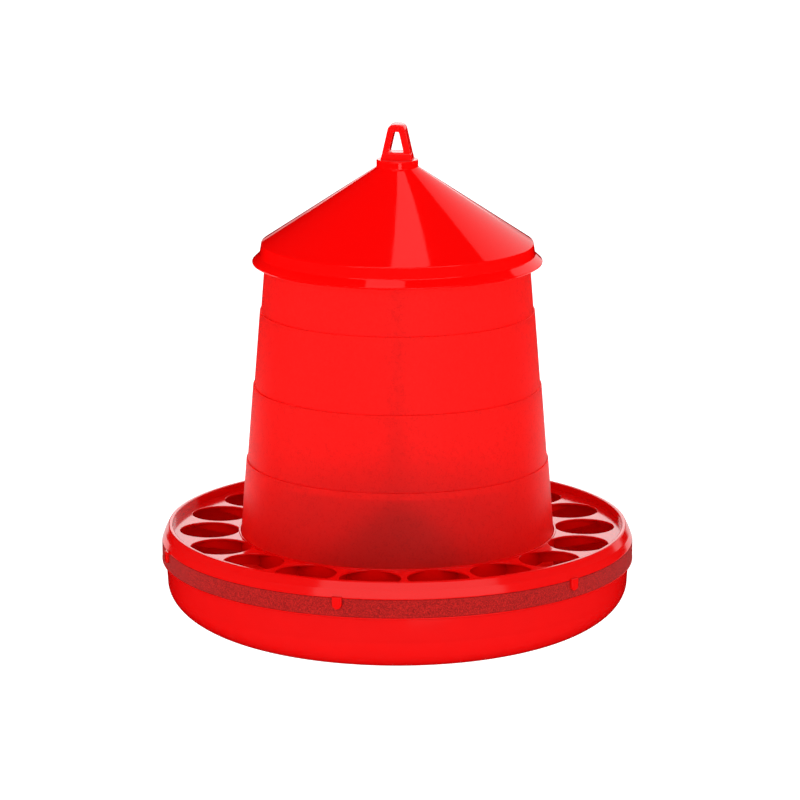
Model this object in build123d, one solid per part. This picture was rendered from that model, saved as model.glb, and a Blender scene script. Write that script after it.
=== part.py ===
"""Gravity poultry feeder: a tapering hopper that stands over a round feed pan.

Frame: millimetres, +Z up, origin on the ground under the pan's centre, front along -Y.
The pan stands on the ground or hangs from the loop on top. A steel rod ties the pan, the
feed cone and the loop together. The hopper hangs from a bridge that slides on this rod and
rests on a cross pin, so a higher hole in the rod gives a wider feed gap. The lid lifts off
over the loop, and the anti-waste grille lifts off over the hopper.
"""
import os
from math import cos, radians, tan

from build123d import *

# ---- driving dimensions -------------------------------------------------------------
RING_RADIUS = 210.0        # outer radius of the grille ring and of the band under it
PLATE_TOP = 79.5           # height of the plate that holds the feeding holes
HOLE_COUNT = 18            # feeding holes
HOLE_RADIUS = 26.5
HOLE_PITCH_RADIUS = 167.5
TONGUE_COUNT = 6           # tongues that hang over the band
TONGUE_FIRST_ANGLE = 54.0  # from the front towards +X, in degrees

SEAM_HEIGHTS = (279.7, 212.7, 145.7)  # the three seams of the hopper, top to bottom
HOPPER_WALL = 1.2
SECTION_STEP = 1.1         # each section stands this far outside the one above
SECTION_FLARE = 0.08       # radius gained for each millimetre down
FIRST_SEAM_RADIUS = 120.2  # outside of the top section at the first seam
NEST_DEPTH = 6.0           # how far a section reaches down into the next one
NEST_GAP = 0.03            # between nested walls
HOPPER_TOP = 337.5
HOPPER_FOOT = 31.0         # lower edge of the hopper, which sets the feed gap
FEED_GAP_TRAVEL = 18.0     # how far the hopper can be raised

LID_SHOULDER_RADIUS = 119.7
LID_SHOULDER_HEIGHT = 339.7
LID_BRIM_RADIUS = 127.8
LID_BRIM_HEIGHT = 322.3
COLLAR_RADIUS = 18.35
COLLAR_TOP = 413.4
CONE_TOP = 406.7           # where the lid's cone meets its collar
LID_WALL = 1.8

HANGER_TOP = 444.5
HANGER_FLOOR = 420.0       # lower edge of the loop's opening
HANGER_FOOT = 396.0
HANGER_DEPTH = 17.4        # front to back, at the block
HANGER_HALF_WIDTH = 13.9   # of the block, inside the collar
HANGER_LEG = 5.9           # width of each leg of the loop
HANGER_LEAN = 0.23         # how fast the legs close in, per millimetre up

ROD_RADIUS = 4.0
ROD_FOOT = 1.0
ROD_HEAD = 411.0
BAND_FOOT = 56.8
BAND_TOP = 72.5
PAN_WALL = 2.2
CONE_TIP_HEIGHT = 101.0    # flat top of the feed cone
CONE_TIP_RADIUS = 13.0


# ---- helpers ------------------------------------------------------------------------
def at(radius, height):
    """Point in the XZ plane at this radius and height."""
    return (radius, 0, height)


def straight(*points):
    """Straight edges through (radius, height) points."""
    return [Line(at(*a), at(*b)) for a, b in zip(points, points[1:])]


def bend(start, middle, end):
    """Circular edge through three (radius, height) points."""
    return [ThreePointArc(at(*start), at(*middle), at(*end))]


def turned(edges):
    """Solid of revolution about Z from the edges of a closed half section."""
    return revolve(make_face(Wire(edges)), Axis.Z, 360)


def turned_outline(*points):
    """Solid of revolution from the corner points of its half section."""
    return turned(straight(*points, points[0]))


def tube(outer, inner, low, high):
    """Round tube about Z."""
    return turned_outline((inner, low), (outer, low), (outer, high), (inner, high))


def disc(radius, low, high):
    """Round solid about Z."""
    return Pos(0, 0, low) * Cylinder(radius, high - low, align=(Align.CENTER, Align.CENTER, Align.MIN))


def bar(x_low, x_high, width, low, high):
    """Straight bar along X, centred on Y."""
    return Pos((x_low + x_high) / 2, 0, (low + high) / 2) * Box(x_high - x_low, width, high - low)


def facing(angle):
    """Turn from +X to an angle measured from the front (-Y) towards +X."""
    return Rot(0, 0, angle - 90)


def hexagon(across_flats, low, high, bore):
    """Hexagon nut with chamfered corners, about Z."""
    corner = across_flats / 2 / cos(radians(30))
    prism = Pos(0, 0, low) * extrude(RegularPolygon(corner, 6), high - low)
    chamfer_height = (corner - across_flats / 2) * tan(radians(30))
    flat = across_flats / 2
    envelope = turned_outline(
        (bore, low), (flat, low), (corner, low + chamfer_height),
        (corner, high - chamfer_height), (flat, high), (bore, high))
    return prism & envelope


# ---- pan, band and cone -------------------------------------------------------------
CORNER_RUN = 59.0          # the pan's corner is a quarter ellipse: this wide
CORNER_RISE = 36.0         # and this high
PAN_CORNER_RADIUS = 205.4  # where the corner meets the wall
PAN_SHOULDER_RADIUS = 206.6
PAN_SHOULDER_HEIGHT = 55.2
PAN_FLANGE_RADIUS = 210.2
PAN_RIM_RADIUS = 207.2
PAN_RIM_TOP = 75.0
PAN_FLOOR_UNDERSIDE = 2.5
FOOT_SLOPE_WIDTH = 2.5     # sloped inner side of the foot ring
FOOT_FLAT_WIDTH = 3.5      # flat of the foot ring that stands on the ground
FLANGE_DRAFT = 0.4         # rise of the flange's underside
BOSS_HEIGHT = 12.0         # raised centre of the pan floor, over the lower nut
BOSS_RADIUS = 19.0
ROD_HOLE = 4.2


def pan_corner(inset):
    """Quarter ellipse of the pan's corner, moved inwards by the wall."""
    centre = at(PAN_CORNER_RADIUS - CORNER_RUN, CORNER_RISE)
    plane = Plane(origin=centre, x_dir=(1, 0, 0), z_dir=(0, -1, 0))
    arc = EllipticalCenterArc((0, 0), CORNER_RUN - inset, CORNER_RISE - inset, 270, arc_size=90)
    return plane * arc


def make_pan():
    """Round pan with a raised foot ring, a flange under the band and a boss over the nut."""
    floor_top = PAN_FLOOR_UNDERSIDE + PAN_WALL
    outer = pan_corner(0)
    inner = pan_corner(PAN_WALL)
    foot = PAN_CORNER_RADIUS - CORNER_RUN
    recess = BOSS_HEIGHT - PAN_WALL
    foot_flat = foot - FOOT_FLAT_WIDTH
    underside = straight(
        (ROD_HOLE, recess), (BOSS_RADIUS - PAN_WALL, recess),
        (BOSS_RADIUS, PAN_FLOOR_UNDERSIDE), (foot_flat - FOOT_SLOPE_WIDTH, PAN_FLOOR_UNDERSIDE),
        (foot_flat, 0.0), (foot, 0.0))
    outside = straight(
        (PAN_CORNER_RADIUS, CORNER_RISE), (PAN_SHOULDER_RADIUS, PAN_SHOULDER_HEIGHT),
        (PAN_FLANGE_RADIUS, PAN_SHOULDER_HEIGHT + FLANGE_DRAFT), (PAN_FLANGE_RADIUS, BAND_FOOT),
        (PAN_RIM_RADIUS, BAND_FOOT), (PAN_RIM_RADIUS, PAN_RIM_TOP),
        (PAN_RIM_RADIUS - PAN_WALL, PAN_RIM_TOP),
        (PAN_RIM_RADIUS - PAN_WALL, BAND_FOOT + PAN_WALL / 2),
        (PAN_CORNER_RADIUS - PAN_WALL, CORNER_RISE))
    inside = straight(
        (foot, PAN_WALL), (foot_flat, floor_top), (BOSS_RADIUS + PAN_WALL, floor_top),
        (BOSS_RADIUS, BOSS_HEIGHT), (ROD_HOLE, BOSS_HEIGHT), (ROD_HOLE, recess))
    return turned(underside + [outer] + outside + [inner] + inside)


def tongue_outline(width, low, high):
    """U-shaped face, round at the bottom, in the YZ plane."""
    half = width / 2
    edges = [
        Line((0, -half, high), (0, -half, low + half)),
        ThreePointArc((0, -half, low + half), (0, 0, low), (0, half, low + half)),
        Line((0, half, low + half), (0, half, high)),
        Line((0, half, high), (0, -half, high)),
    ]
    return make_face(Wire(edges))


def tongues(inner, outer, width, low, high):
    """The ring of U-shaped blocks at the tongue positions."""
    block = Pos(inner, 0, 0) * extrude(tongue_outline(width, low, high), outer - inner, dir=(1, 0, 0))
    turns = [TONGUE_FIRST_ANGLE + i * 360 / TONGUE_COUNT for i in range(TONGUE_COUNT)]
    return [facing(angle) * block for angle in turns]


TONGUE_WIDTH = 8.5
TONGUE_FOOT = 63.3
TONGUE_INNER = 208.4
TONGUE_OUTER = 212.2
TONGUE_GAP = 0.35
TONGUE_ROOT = 1.4          # how far a tongue reaches up into the ring's wall
BAND_GAP = 0.05            # between the band and the pan's rim
CUT_MARGIN = 1.0           # how far a cutting body reaches past what it cuts


def make_rim_band():
    """Band round the pan's rim, with a notch for each tongue of the grille."""
    band = tube(RING_RADIUS, PAN_RIM_RADIUS + BAND_GAP, BAND_FOOT, BAND_TOP)
    notches = tongues(
        TONGUE_INNER - TONGUE_GAP, RING_RADIUS + CUT_MARGIN, TONGUE_WIDTH + 2 * TONGUE_GAP,
        TONGUE_FOOT - TONGUE_GAP, BAND_TOP + CUT_MARGIN)
    for notch in notches:
        band -= notch
    return band


CONE_FOOT_RADIUS = 112.0
CONE_FLANGE_RADIUS = 119.0
CONE_WALL = 2.0
POST_RADIUS = 9.0          # post inside the cone


def make_feed_cone():
    """Cone that turns the feed outwards, with a post inside that takes the rod."""
    floor_top = PAN_FLOOR_UNDERSIDE + PAN_WALL
    slope = (CONE_TIP_HEIGHT - floor_top - CONE_WALL) / (CONE_FOOT_RADIUS - CONE_TIP_RADIUS)
    wall_shift = CONE_WALL * (1 + slope ** 2) ** 0.5 / slope
    inner_foot = CONE_FOOT_RADIUS + CONE_WALL / slope - wall_shift
    under_tip = CONE_TIP_HEIGHT - CONE_WALL
    inner_tip = inner_foot - (under_tip - floor_top) / slope
    return turned_outline(
        (ROD_HOLE, CONE_TIP_HEIGHT), (CONE_TIP_RADIUS, CONE_TIP_HEIGHT),
        (CONE_FOOT_RADIUS, floor_top + CONE_WALL), (CONE_FLANGE_RADIUS, floor_top + CONE_WALL),
        (CONE_FLANGE_RADIUS, floor_top), (inner_foot, floor_top),
        (inner_tip, under_tip), (POST_RADIUS, under_tip),
        (POST_RADIUS, BOSS_HEIGHT), (ROD_HOLE, BOSS_HEIGHT))


# ---- grille ring --------------------------------------------------------------------
SKIRT_INNER = 139.9        # collar of the grille that guides the hopper
SKIRT_OUTER = 141.7
SKIRT_FOOT = 64.5
SKIRT_LIP = 80.3
PLATE_THICKNESS = 1.8
LIP_INNER = 200.3
LIP_OUTER = 204.8
LIP_TOP = 86.6
LIP_FOOT = 74.2            # lower edge of the lip's inner skirt
RING_WALL = 1.8
RING_FOOT = 72.6
BULGE_FOOT = 77.5          # where the rounded edge meets the outer wall
BULGE_MIDDLE = (1.3, 83.0)        # inside the ring's radius, and height
INNER_BULGE_MIDDLE = (1.2, 82.0)  # the same for the inner surface
FIN_ROOT = 0.4             # how far a fin reaches into what holds it
FIN_THICKNESS = 1.8
FIN_FOOT_INNER = 66.2      # lower edge of a fin at the collar
FIN_FOOT_OUTER = 76.6      # and at the outer wall


def ring_section():
    """Closed half section of the grille: collar, plate, lip and rounded outer wall."""
    under_plate = PLATE_TOP - PLATE_THICKNESS
    under_lip = LIP_TOP - RING_WALL
    wall = RING_RADIUS - RING_WALL
    bulge_start = (LIP_OUTER, LIP_TOP)
    bulge_end = (RING_RADIUS, BULGE_FOOT)
    inner_end = (wall, BULGE_FOOT)
    inner_start = (LIP_OUTER - RING_WALL / 2, under_lip)
    middle = (RING_RADIUS - BULGE_MIDDLE[0], BULGE_MIDDLE[1])
    inner_middle = (wall - INNER_BULGE_MIDDLE[0], INNER_BULGE_MIDDLE[1])
    edges = straight(
        (SKIRT_INNER, SKIRT_FOOT), (SKIRT_INNER, SKIRT_LIP), (SKIRT_OUTER, SKIRT_LIP),
        (SKIRT_OUTER, PLATE_TOP), (LIP_INNER, PLATE_TOP), (LIP_INNER, LIP_TOP), bulge_start)
    edges += bend(bulge_start, middle, bulge_end)
    edges += straight(bulge_end, (RING_RADIUS, RING_FOOT), (wall, RING_FOOT), inner_end)
    edges += bend(inner_end, inner_middle, inner_start)
    edges += straight(
        inner_start, (LIP_INNER + RING_WALL, under_lip),
        (LIP_INNER + RING_WALL, LIP_FOOT), (LIP_INNER, LIP_FOOT), (LIP_INNER, under_plate),
        (SKIRT_OUTER, under_plate), (SKIRT_OUTER, SKIRT_FOOT), (SKIRT_INNER, SKIRT_FOOT))
    return edges


def make_fin():
    """Thin radial fin under the plate, deepest at the collar, along +X."""
    inner = SKIRT_OUTER - FIN_ROOT
    outer = LIP_INNER + FIN_ROOT
    top = PLATE_TOP - FIN_ROOT
    face = make_face(Wire(straight(
        (inner, top), (outer, top), (outer, FIN_FOOT_OUTER), (inner, FIN_FOOT_INNER), (inner, top))))
    return Pos(0, FIN_THICKNESS / 2, 0) * extrude(face, FIN_THICKNESS, dir=(0, -1, 0))


def make_grille_ring():
    """Anti-waste grille: round feeding holes, fins between them and tongues at the edge."""
    ring = turned(ring_section())
    fin = make_fin()
    step = 360 / HOLE_COUNT
    for i in range(HOLE_COUNT):
        ring += facing((i + 0.5) * step) * fin
    root = RING_FOOT + TONGUE_ROOT
    for tongue in tongues(TONGUE_INNER, TONGUE_OUTER, TONGUE_WIDTH, TONGUE_FOOT, root):
        ring += tongue
    plate_low = PLATE_TOP - PLATE_THICKNESS - CUT_MARGIN
    cutter = Pos(HOLE_PITCH_RADIUS, 0, 0) * disc(HOLE_RADIUS, plate_low, PLATE_TOP + CUT_MARGIN)
    for i in range(HOLE_COUNT):
        ring -= facing(i * step) * cutter
    return ring


# ---- hopper -------------------------------------------------------------------------
def section_radius(index, height):
    """Outer radius of hopper section 0 (top) to 3 (bottom) at this height."""
    seam = SEAM_HEIGHTS[0]
    pitch = SEAM_HEIGHTS[0] - SEAM_HEIGHTS[1]
    growth = SECTION_FLARE * pitch + SECTION_STEP
    return FIRST_SEAM_RADIUS + index * growth + SECTION_FLARE * (seam - index * pitch - height)


KNEE_RISE = 0.6            # the bottom section turns straight this far above the collar
SLIDE_GAP = 0.5            # between the bottom section and the grille's collar
FOOT_BEAD = (0.8, 2.0)     # inward bead on the hopper's foot: width, height
RIM_BEAD = (1.4, 1.6)      # outward bead on the hopper's rim: width, height


def make_hopper_section(index):
    """One tapering section, with its lower edge nested in the section below."""
    last = len(SEAM_HEIGHTS)
    top = HOPPER_TOP if index == 0 else SEAM_HEIGHTS[index - 1]
    wall = HOPPER_WALL
    upper = section_radius(index, top)
    if index == last:
        knee = SKIRT_LIP + KNEE_RISE
        foot = min(section_radius(index, knee), SKIRT_INNER - SLIDE_GAP)
        bead = foot - wall - FOOT_BEAD[0]
        bead_top = HOPPER_FOOT + FOOT_BEAD[1]
        return turned_outline(
            (upper - wall, top), (upper, top), (foot, knee), (foot, HOPPER_FOOT),
            (bead, HOPPER_FOOT), (bead, bead_top), (foot - wall, bead_top + FOOT_BEAD[0]),
            (foot - wall, knee))
    seam = SEAM_HEIGHTS[index]
    lower = section_radius(index, seam)
    nest = seam - NEST_DEPTH
    nested = section_radius(index + 1, nest) - wall - NEST_GAP
    corner = section_radius(index + 1, seam) - wall - NEST_GAP
    points = [(upper - wall, top)]
    if index == 0:
        bead = upper + RIM_BEAD[0]
        bead_foot = top - RIM_BEAD[1]
        points += [(bead, top), (bead, bead_foot), (section_radius(0, bead_foot), bead_foot)]
    else:
        points += [(upper, top)]
    points += [
        (lower, seam), (corner, seam), (nested, nest), (nested - wall, nest), (lower - wall, seam)]
    return turned_outline(*points)


HUB_FOOT = 328.5
HUB_RADIUS = 14.0
SLEEVE_RADIUS = 9.0
SLEEVE_TOP = 352.0
ARM_COUNT = 4
ARM_WIDTH = 12.0
ARM_TOP = 336.5
ARM_THICKNESS = 2.4
ARM_CLEARANCE = 1.0        # between the arm's end and the hopper's wall
WEB_WIDTH = 3.0            # rib under each arm
HUB_SHOULDER = 4.0         # height of the slope from the hub to its sleeve
TAB_FOOT = 319.5
TAB_WIDTH = 26.0
TAB_THICKNESS = 2.4
RIVET_HEIGHT = 325.0
RIVET_RADIUS = 2.4
RIVET_SLACK = 0.12         # lets the flat tail clear the curved tab
RIVET_REACH = (8.0, 4.0)   # how far the rivet's hole is cut inwards and outwards
RIVET_HEAD = (4.2, 2.6, 1.6)      # base radius, top radius and height of the domed head
RIVET_TAIL = (3.8, 1.2)    # radius and height of the flat tail
RUNNING_GAP = 0.08         # radial, hub on rod


def hopper_inside(height):
    """Inner radius of the top section at this height."""
    return section_radius(0, height) - HOPPER_WALL


def rivet_frame():
    """Frame on the outside of the top section's wall, +Z square to the wall."""
    lean = SECTION_FLARE / (1 + SECTION_FLARE ** 2) ** 0.5
    return Plane(
        origin=at(section_radius(0, RIVET_HEIGHT), RIVET_HEIGHT),
        x_dir=(0, 1, 0), z_dir=((1 - lean ** 2) ** 0.5, 0, lean))


def rivet_shank(radius, depth, proud):
    """Round body along the rivet's axis, from inside the tab to outside the wall."""
    align = (Align.CENTER, Align.CENTER, Align.MIN)
    return rivet_frame() * Pos(0, 0, -depth) * Cylinder(radius, depth + proud, align=align)


def arm_angles():
    """Angles of the bridge's arms."""
    return [45 + i * 360 / ARM_COUNT for i in range(ARM_COUNT)]


def make_hopper_bridge():
    """Four-armed bridge across the hopper's mouth, with a sleeve that slides on the rod."""
    bore = ROD_RADIUS + RUNNING_GAP
    hub = turned_outline(
        (bore, HUB_FOOT), (HUB_RADIUS, HUB_FOOT), (HUB_RADIUS, ARM_TOP),
        (SLEEVE_RADIUS, ARM_TOP + HUB_SHOULDER), (SLEEVE_RADIUS, SLEEVE_TOP), (bore, SLEEVE_TOP))
    reach = hopper_inside(ARM_TOP) - ARM_CLEARANCE
    under_arm = ARM_TOP - ARM_THICKNESS
    flange = bar(SLEEVE_RADIUS, reach, ARM_WIDTH, under_arm, ARM_TOP)
    web = bar(SLEEVE_RADIUS, reach, WEB_WIDTH, HUB_FOOT + 1, under_arm + ARM_THICKNESS / 2)
    shell = turned_outline(
        (hopper_inside(ARM_TOP) - TAB_THICKNESS, ARM_TOP), (hopper_inside(ARM_TOP), ARM_TOP),
        (hopper_inside(TAB_FOOT), TAB_FOOT), (hopper_inside(TAB_FOOT) - TAB_THICKNESS, TAB_FOOT))
    keep = (reach - TAB_WIDTH, reach + TAB_WIDTH)
    tab = shell & bar(*keep, TAB_WIDTH, TAB_FOOT - CUT_MARGIN, ARM_TOP + CUT_MARGIN)
    hole = rivet_shank(RIVET_RADIUS, *RIVET_REACH)
    arm = flange + web + tab - hole
    bridge = hub
    for angle in arm_angles():
        bridge += facing(angle) * arm
    return bridge


def make_top_section():
    """Top hopper section, with the holes for the bridge's rivets."""
    section = make_hopper_section(0)
    hole = rivet_shank(RIVET_RADIUS, *RIVET_REACH)
    for angle in arm_angles():
        section -= facing(angle) * hole
    return section


def make_bridge_rivets():
    """One rivet for each arm: shank, domed head outside and flat head inside."""
    grip = HOPPER_WALL + TAB_THICKNESS + RIVET_SLACK
    frame = rivet_frame()
    align = (Align.CENTER, Align.CENTER, Align.MIN)
    shank = rivet_shank(RIVET_RADIUS, grip, 0.0)
    tail_radius, tail_height = RIVET_TAIL
    head = frame * Cone(*RIVET_HEAD, align=align)
    tail = frame * Pos(0, 0, -grip - tail_height) * Cylinder(tail_radius, tail_height, align=align)
    rivet = shank + head + tail
    return [facing(angle) * rivet for angle in arm_angles()]


# ---- rod, pins and nuts -------------------------------------------------------------
PIN_RADIUS = 1.6
PIN_DROP = 0.3             # gap between the cross pin and the hub that rests on it
PIN_HOLE_RADIUS = 1.7
PIN_HOLE_COUNT = 4
PIN_HEIGHT = HUB_FOOT - PIN_DROP - PIN_RADIUS
PIN_TAIL = 9.0             # how far the pin stands out behind the rod
PIN_HEAD_START = 15.0
PIN_HEAD_LENGTH = 7.0
PIN_HEAD_RADIUS = 2.6
PIN_EYE_RADIUS = 1.3
PIN_RING_RADIUS = 9.0
PIN_RING_WIRE = 0.9
CROSS_PIN_RADIUS = 1.5
CROSS_PIN_HEIGHT = 403.0
ROD_CHAMFER = 0.8


def rod_along_x(radius, x_low, x_high, height):
    """Round rod along X."""
    align = (Align.CENTER, Align.CENTER, Align.MIN)
    return Pos(x_low, 0, height) * Rot(0, 90, 0) * Cylinder(radius, x_high - x_low, align=align)


def rod_along_y(radius, half_length, height):
    """Round rod along Y, centred on the axis."""
    return Pos(0, 0, height) * Rot(90, 0, 0) * Cylinder(radius, 2 * half_length)


def make_central_rod():
    """Steel rod with a row of cross holes for the height pin and one for the cross pin."""
    rod = turned_outline(
        (0, ROD_FOOT), (ROD_RADIUS - ROD_CHAMFER, ROD_FOOT), (ROD_RADIUS, ROD_FOOT + ROD_CHAMFER),
        (ROD_RADIUS, ROD_HEAD - ROD_CHAMFER), (ROD_RADIUS - ROD_CHAMFER, ROD_HEAD), (0, ROD_HEAD))
    spacing = FEED_GAP_TRAVEL / (PIN_HOLE_COUNT - 1)
    through = ROD_RADIUS + CUT_MARGIN
    for i in range(PIN_HOLE_COUNT):
        rod -= rod_along_x(PIN_HOLE_RADIUS, -through, through, PIN_HEIGHT + i * spacing)
    rod -= rod_along_y(CROSS_PIN_RADIUS, through, CROSS_PIN_HEIGHT)
    return rod


def make_height_pin():
    """Pin through the rod that carries the hub, with a drilled head for its ring."""
    head_end = PIN_HEAD_START + PIN_HEAD_LENGTH
    pin = rod_along_x(PIN_RADIUS, -PIN_TAIL, PIN_HEAD_START + 1, PIN_HEIGHT)
    pin += rod_along_x(PIN_HEAD_RADIUS, PIN_HEAD_START, head_end, PIN_HEIGHT)
    middle = PIN_HEAD_START + PIN_HEAD_LENGTH / 2
    eye = Pos(middle, 0, PIN_HEIGHT) * Cylinder(PIN_EYE_RADIUS, 4 * PIN_HEAD_RADIUS)
    return pin - eye


def make_height_pin_ring():
    """Wire ring through the pin's head, standing out beyond it."""
    centre = (PIN_HEAD_START + PIN_HEAD_LENGTH / 2 + PIN_RING_RADIUS, 0, PIN_HEIGHT)
    return Pos(*centre) * Rot(90, 0, 0) * Torus(PIN_RING_RADIUS, PIN_RING_WIRE)


WASHER_RADIUS = 10.0
WASHER_THICKNESS = 1.6
NUT_FLATS = 13.0
NUT_HEIGHT = 6.0


def make_washer(low):
    """Flat washer on the rod."""
    return tube(WASHER_RADIUS, ROD_HOLE, low, low + WASHER_THICKNESS)


def make_nut(low):
    """Hexagon nut on the rod."""
    nut = hexagon(NUT_FLATS, low, low + NUT_HEIGHT, ROD_RADIUS)
    return nut - disc(ROD_RADIUS, low - CUT_MARGIN, low + NUT_HEIGHT + CUT_MARGIN)


# ---- hanger and lid -----------------------------------------------------------------
def hanger_half_width(height):
    """Half width of the hanger's outline, which closes in above the collar."""
    return HANGER_HALF_WIDTH - HANGER_LEAN * max(0.0, height - COLLAR_TOP)


def plate_from(outline, depth):
    """Plate in the XZ plane, centred on Y, from the corner points of its outline."""
    face = make_face(Wire(straight(*outline, outline[0])))
    return Pos(0, depth / 2, 0) * extrude(face, depth, dir=(0, -1, 0))


HANGER_CROWN = 6.3         # thickness of the loop above its opening
LOOP_SETBACK = 0.6         # the loop is this much thinner than the block, on each side
CROWN_FILLET = 4.6
EDGE_FILLET = 0.9
BLOCK_FILLET = 1.2


def make_hanger():
    """A-shaped loop on a flat block that stands in the lid's collar."""
    crown = HANGER_TOP - HANGER_CROWN
    tip = hanger_half_width(HANGER_TOP)
    waist = hanger_half_width(HANGER_FLOOR)
    loop = plate_from(
        [(-waist, HANGER_FLOOR), (-tip, HANGER_TOP), (tip, HANGER_TOP), (waist, HANGER_FLOOR)],
        HANGER_DEPTH - 2 * LOOP_SETBACK)
    loop = fillet(loop.edges().filter_by(Axis.Y).group_by(Axis.Z)[-1], CROWN_FILLET)
    ends = loop.faces().sort_by(Axis.Y)
    loop = fillet(ends[0].edges() + ends[-1].edges(), EDGE_FILLET)
    collar_line = hanger_half_width(COLLAR_TOP)
    block = plate_from(
        [(-collar_line, HANGER_FOOT), (-collar_line, COLLAR_TOP), (-waist, HANGER_FLOOR),
         (waist, HANGER_FLOOR), (collar_line, COLLAR_TOP), (collar_line, HANGER_FOOT)],
        HANGER_DEPTH)
    block = fillet(block.edges().filter_by(Axis.Z), BLOCK_FILLET)
    inner_low = waist - HANGER_LEG
    inner_high = hanger_half_width(crown) - HANGER_LEG
    window = plate_from(
        [(-inner_low, HANGER_FLOOR), (-inner_high, crown), (inner_high, crown),
         (inner_low, HANGER_FLOOR)], 2 * HANGER_DEPTH)
    window = fillet(window.edges().filter_by(Axis.Y), EDGE_FILLET)
    hanger = block + loop - window
    hanger -= disc(ROD_RADIUS, HANGER_FOOT - CUT_MARGIN, ROD_HEAD)
    return hanger - rod_along_y(CROSS_PIN_RADIUS, HANGER_DEPTH, CROSS_PIN_HEIGHT)


def make_cross_pin():
    """Pin that ties the hanger to the rod, just under flush at both ends."""
    return rod_along_y(CROSS_PIN_RADIUS, HANGER_DEPTH / 2 - SLOT_GAP, CROSS_PIN_HEIGHT)


BRIM_THROAT_RADIUS = 121.4
BRIM_THROAT_HEIGHT = 329.4
BRIM_EDGE = 1.2            # height of the brim's outer edge
BRIM_CHAMFER = 0.3
COLLAR_WALL = 2.0
COLLAR_CAP = 2.4           # thickness of the collar's flat top
COLLAR_FILLET = 0.8
GUSSET_COUNT = 8
GUSSET_INNER = 100.0       # the gussets' inner end
GUSSET_RUN = 10.0          # from there to where they rest on the hopper's rim
GUSSET_THICKNESS = 2.0
LID_REST = 0.1             # gap between gusset and rim
SLOT_GAP = 0.4


def make_lid():
    """Conical lid with a round collar on top, a short skirt and a flared brim."""
    slope = (CONE_TOP - LID_SHOULDER_HEIGHT) / (LID_SHOULDER_RADIUS - COLLAR_RADIUS)
    drop = LID_WALL * (1 + slope ** 2) ** 0.5
    collar_inner = COLLAR_RADIUS - COLLAR_WALL
    inner_skirt_top = LID_SHOULDER_RADIUS - LID_WALL
    cone_inner = CONE_TOP - drop
    under_cap = COLLAR_TOP - COLLAR_CAP
    shell = turned_outline(
        (0, COLLAR_TOP), (COLLAR_RADIUS, COLLAR_TOP), (COLLAR_RADIUS, CONE_TOP),
        (LID_SHOULDER_RADIUS, LID_SHOULDER_HEIGHT), (BRIM_THROAT_RADIUS, BRIM_THROAT_HEIGHT),
        (LID_BRIM_RADIUS, LID_BRIM_HEIGHT + BRIM_EDGE),
        (LID_BRIM_RADIUS - BRIM_CHAMFER, LID_BRIM_HEIGHT),
        (LID_BRIM_RADIUS - LID_WALL - BRIM_CHAMFER, LID_BRIM_HEIGHT),
        (BRIM_THROAT_RADIUS - LID_WALL, BRIM_THROAT_HEIGHT - LID_WALL / 2),
        (inner_skirt_top, cone_inner - slope * (inner_skirt_top - COLLAR_RADIUS)),
        (collar_inner, cone_inner + slope * (COLLAR_RADIUS - collar_inner)),
        (collar_inner, under_cap), (0, under_cap))
    rims = shell.edges().filter_by(GeomType.CIRCLE)
    crown = rims.filter_by(lambda e: abs(e.radius - COLLAR_RADIUS) < 0.01).sort_by(Axis.Z)[-1:]
    shell = fillet(crown, COLLAR_FILLET)
    slot_width = 2 * (HANGER_HALF_WIDTH + SLOT_GAP)
    slot_depth = HANGER_DEPTH + 2 * SLOT_GAP
    slot = Pos(0, 0, COLLAR_TOP) * Box(slot_width, slot_depth, 4 * COLLAR_CAP)
    gusset = make_gusset(slope, drop)
    lid = shell
    for i in range(GUSSET_COUNT):
        lid += facing((i + 0.5) * 360 / GUSSET_COUNT) * gusset
    return lid - slot


def make_gusset(slope, drop):
    """Small rib under the lid's cone that sits on the hopper's rim, along +X."""
    inner = GUSSET_INNER
    outer = LID_SHOULDER_RADIUS - LID_WALL / 2
    rest = HOPPER_TOP + LID_REST

    def under_cone(radius):
        """Height inside the cone's wall, where a gusset is rooted."""
        return CONE_TOP - drop / 2 - slope * (radius - COLLAR_RADIUS)

    toe = (inner, under_cone(inner) - GUSSET_THICKNESS)
    face = make_face(Wire(straight(
        toe, (inner, under_cone(inner)), (outer, under_cone(outer)),
        (outer, rest), (inner + GUSSET_RUN, rest), toe)))
    return Pos(0, GUSSET_THICKNESS / 2, 0) * extrude(face, GUSSET_THICKNESS, dir=(0, -1, 0))


# ---- output -------------------------------------------------------------------------
def save(name, shape):
    """Write one sub-part."""
    solids = shape if isinstance(shape, list) else [shape]
    if len(solids) > 1:
        body = Compound(children=solids)
    else:
        body = solids[0]
    export_step(body, f"parts/{name}.step")


def main():
    """Make every sub-part and write it."""
    os.makedirs("parts", exist_ok=True)
    save("pan", make_pan())
    save("rim_band", make_rim_band())
    save("feed_cone", make_feed_cone())
    save("grille_ring", make_grille_ring())
    save("hopper_top_section", make_top_section())
    save("hopper_upper_section", make_hopper_section(1))
    save("hopper_lower_section", make_hopper_section(2))
    save("hopper_bottom_section", make_hopper_section(3))
    save("hopper_bridge", make_hopper_bridge())
    save("bridge_rivets", make_bridge_rivets())
    save("central_rod", make_central_rod())
    washer_low = BOSS_HEIGHT - PAN_WALL - WASHER_THICKNESS
    save("lower_washer", make_washer(washer_low))
    save("lower_nut", make_nut(washer_low - NUT_HEIGHT))
    save("cone_washer", make_washer(CONE_TIP_HEIGHT))
    save("cone_nut", make_nut(CONE_TIP_HEIGHT + WASHER_THICKNESS))
    save("height_pin", make_height_pin())
    save("height_pin_ring", make_height_pin_ring())
    save("hanger", make_hanger())
    save("hanger_cross_pin", make_cross_pin())
    save("lid", make_lid())


main()
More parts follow.
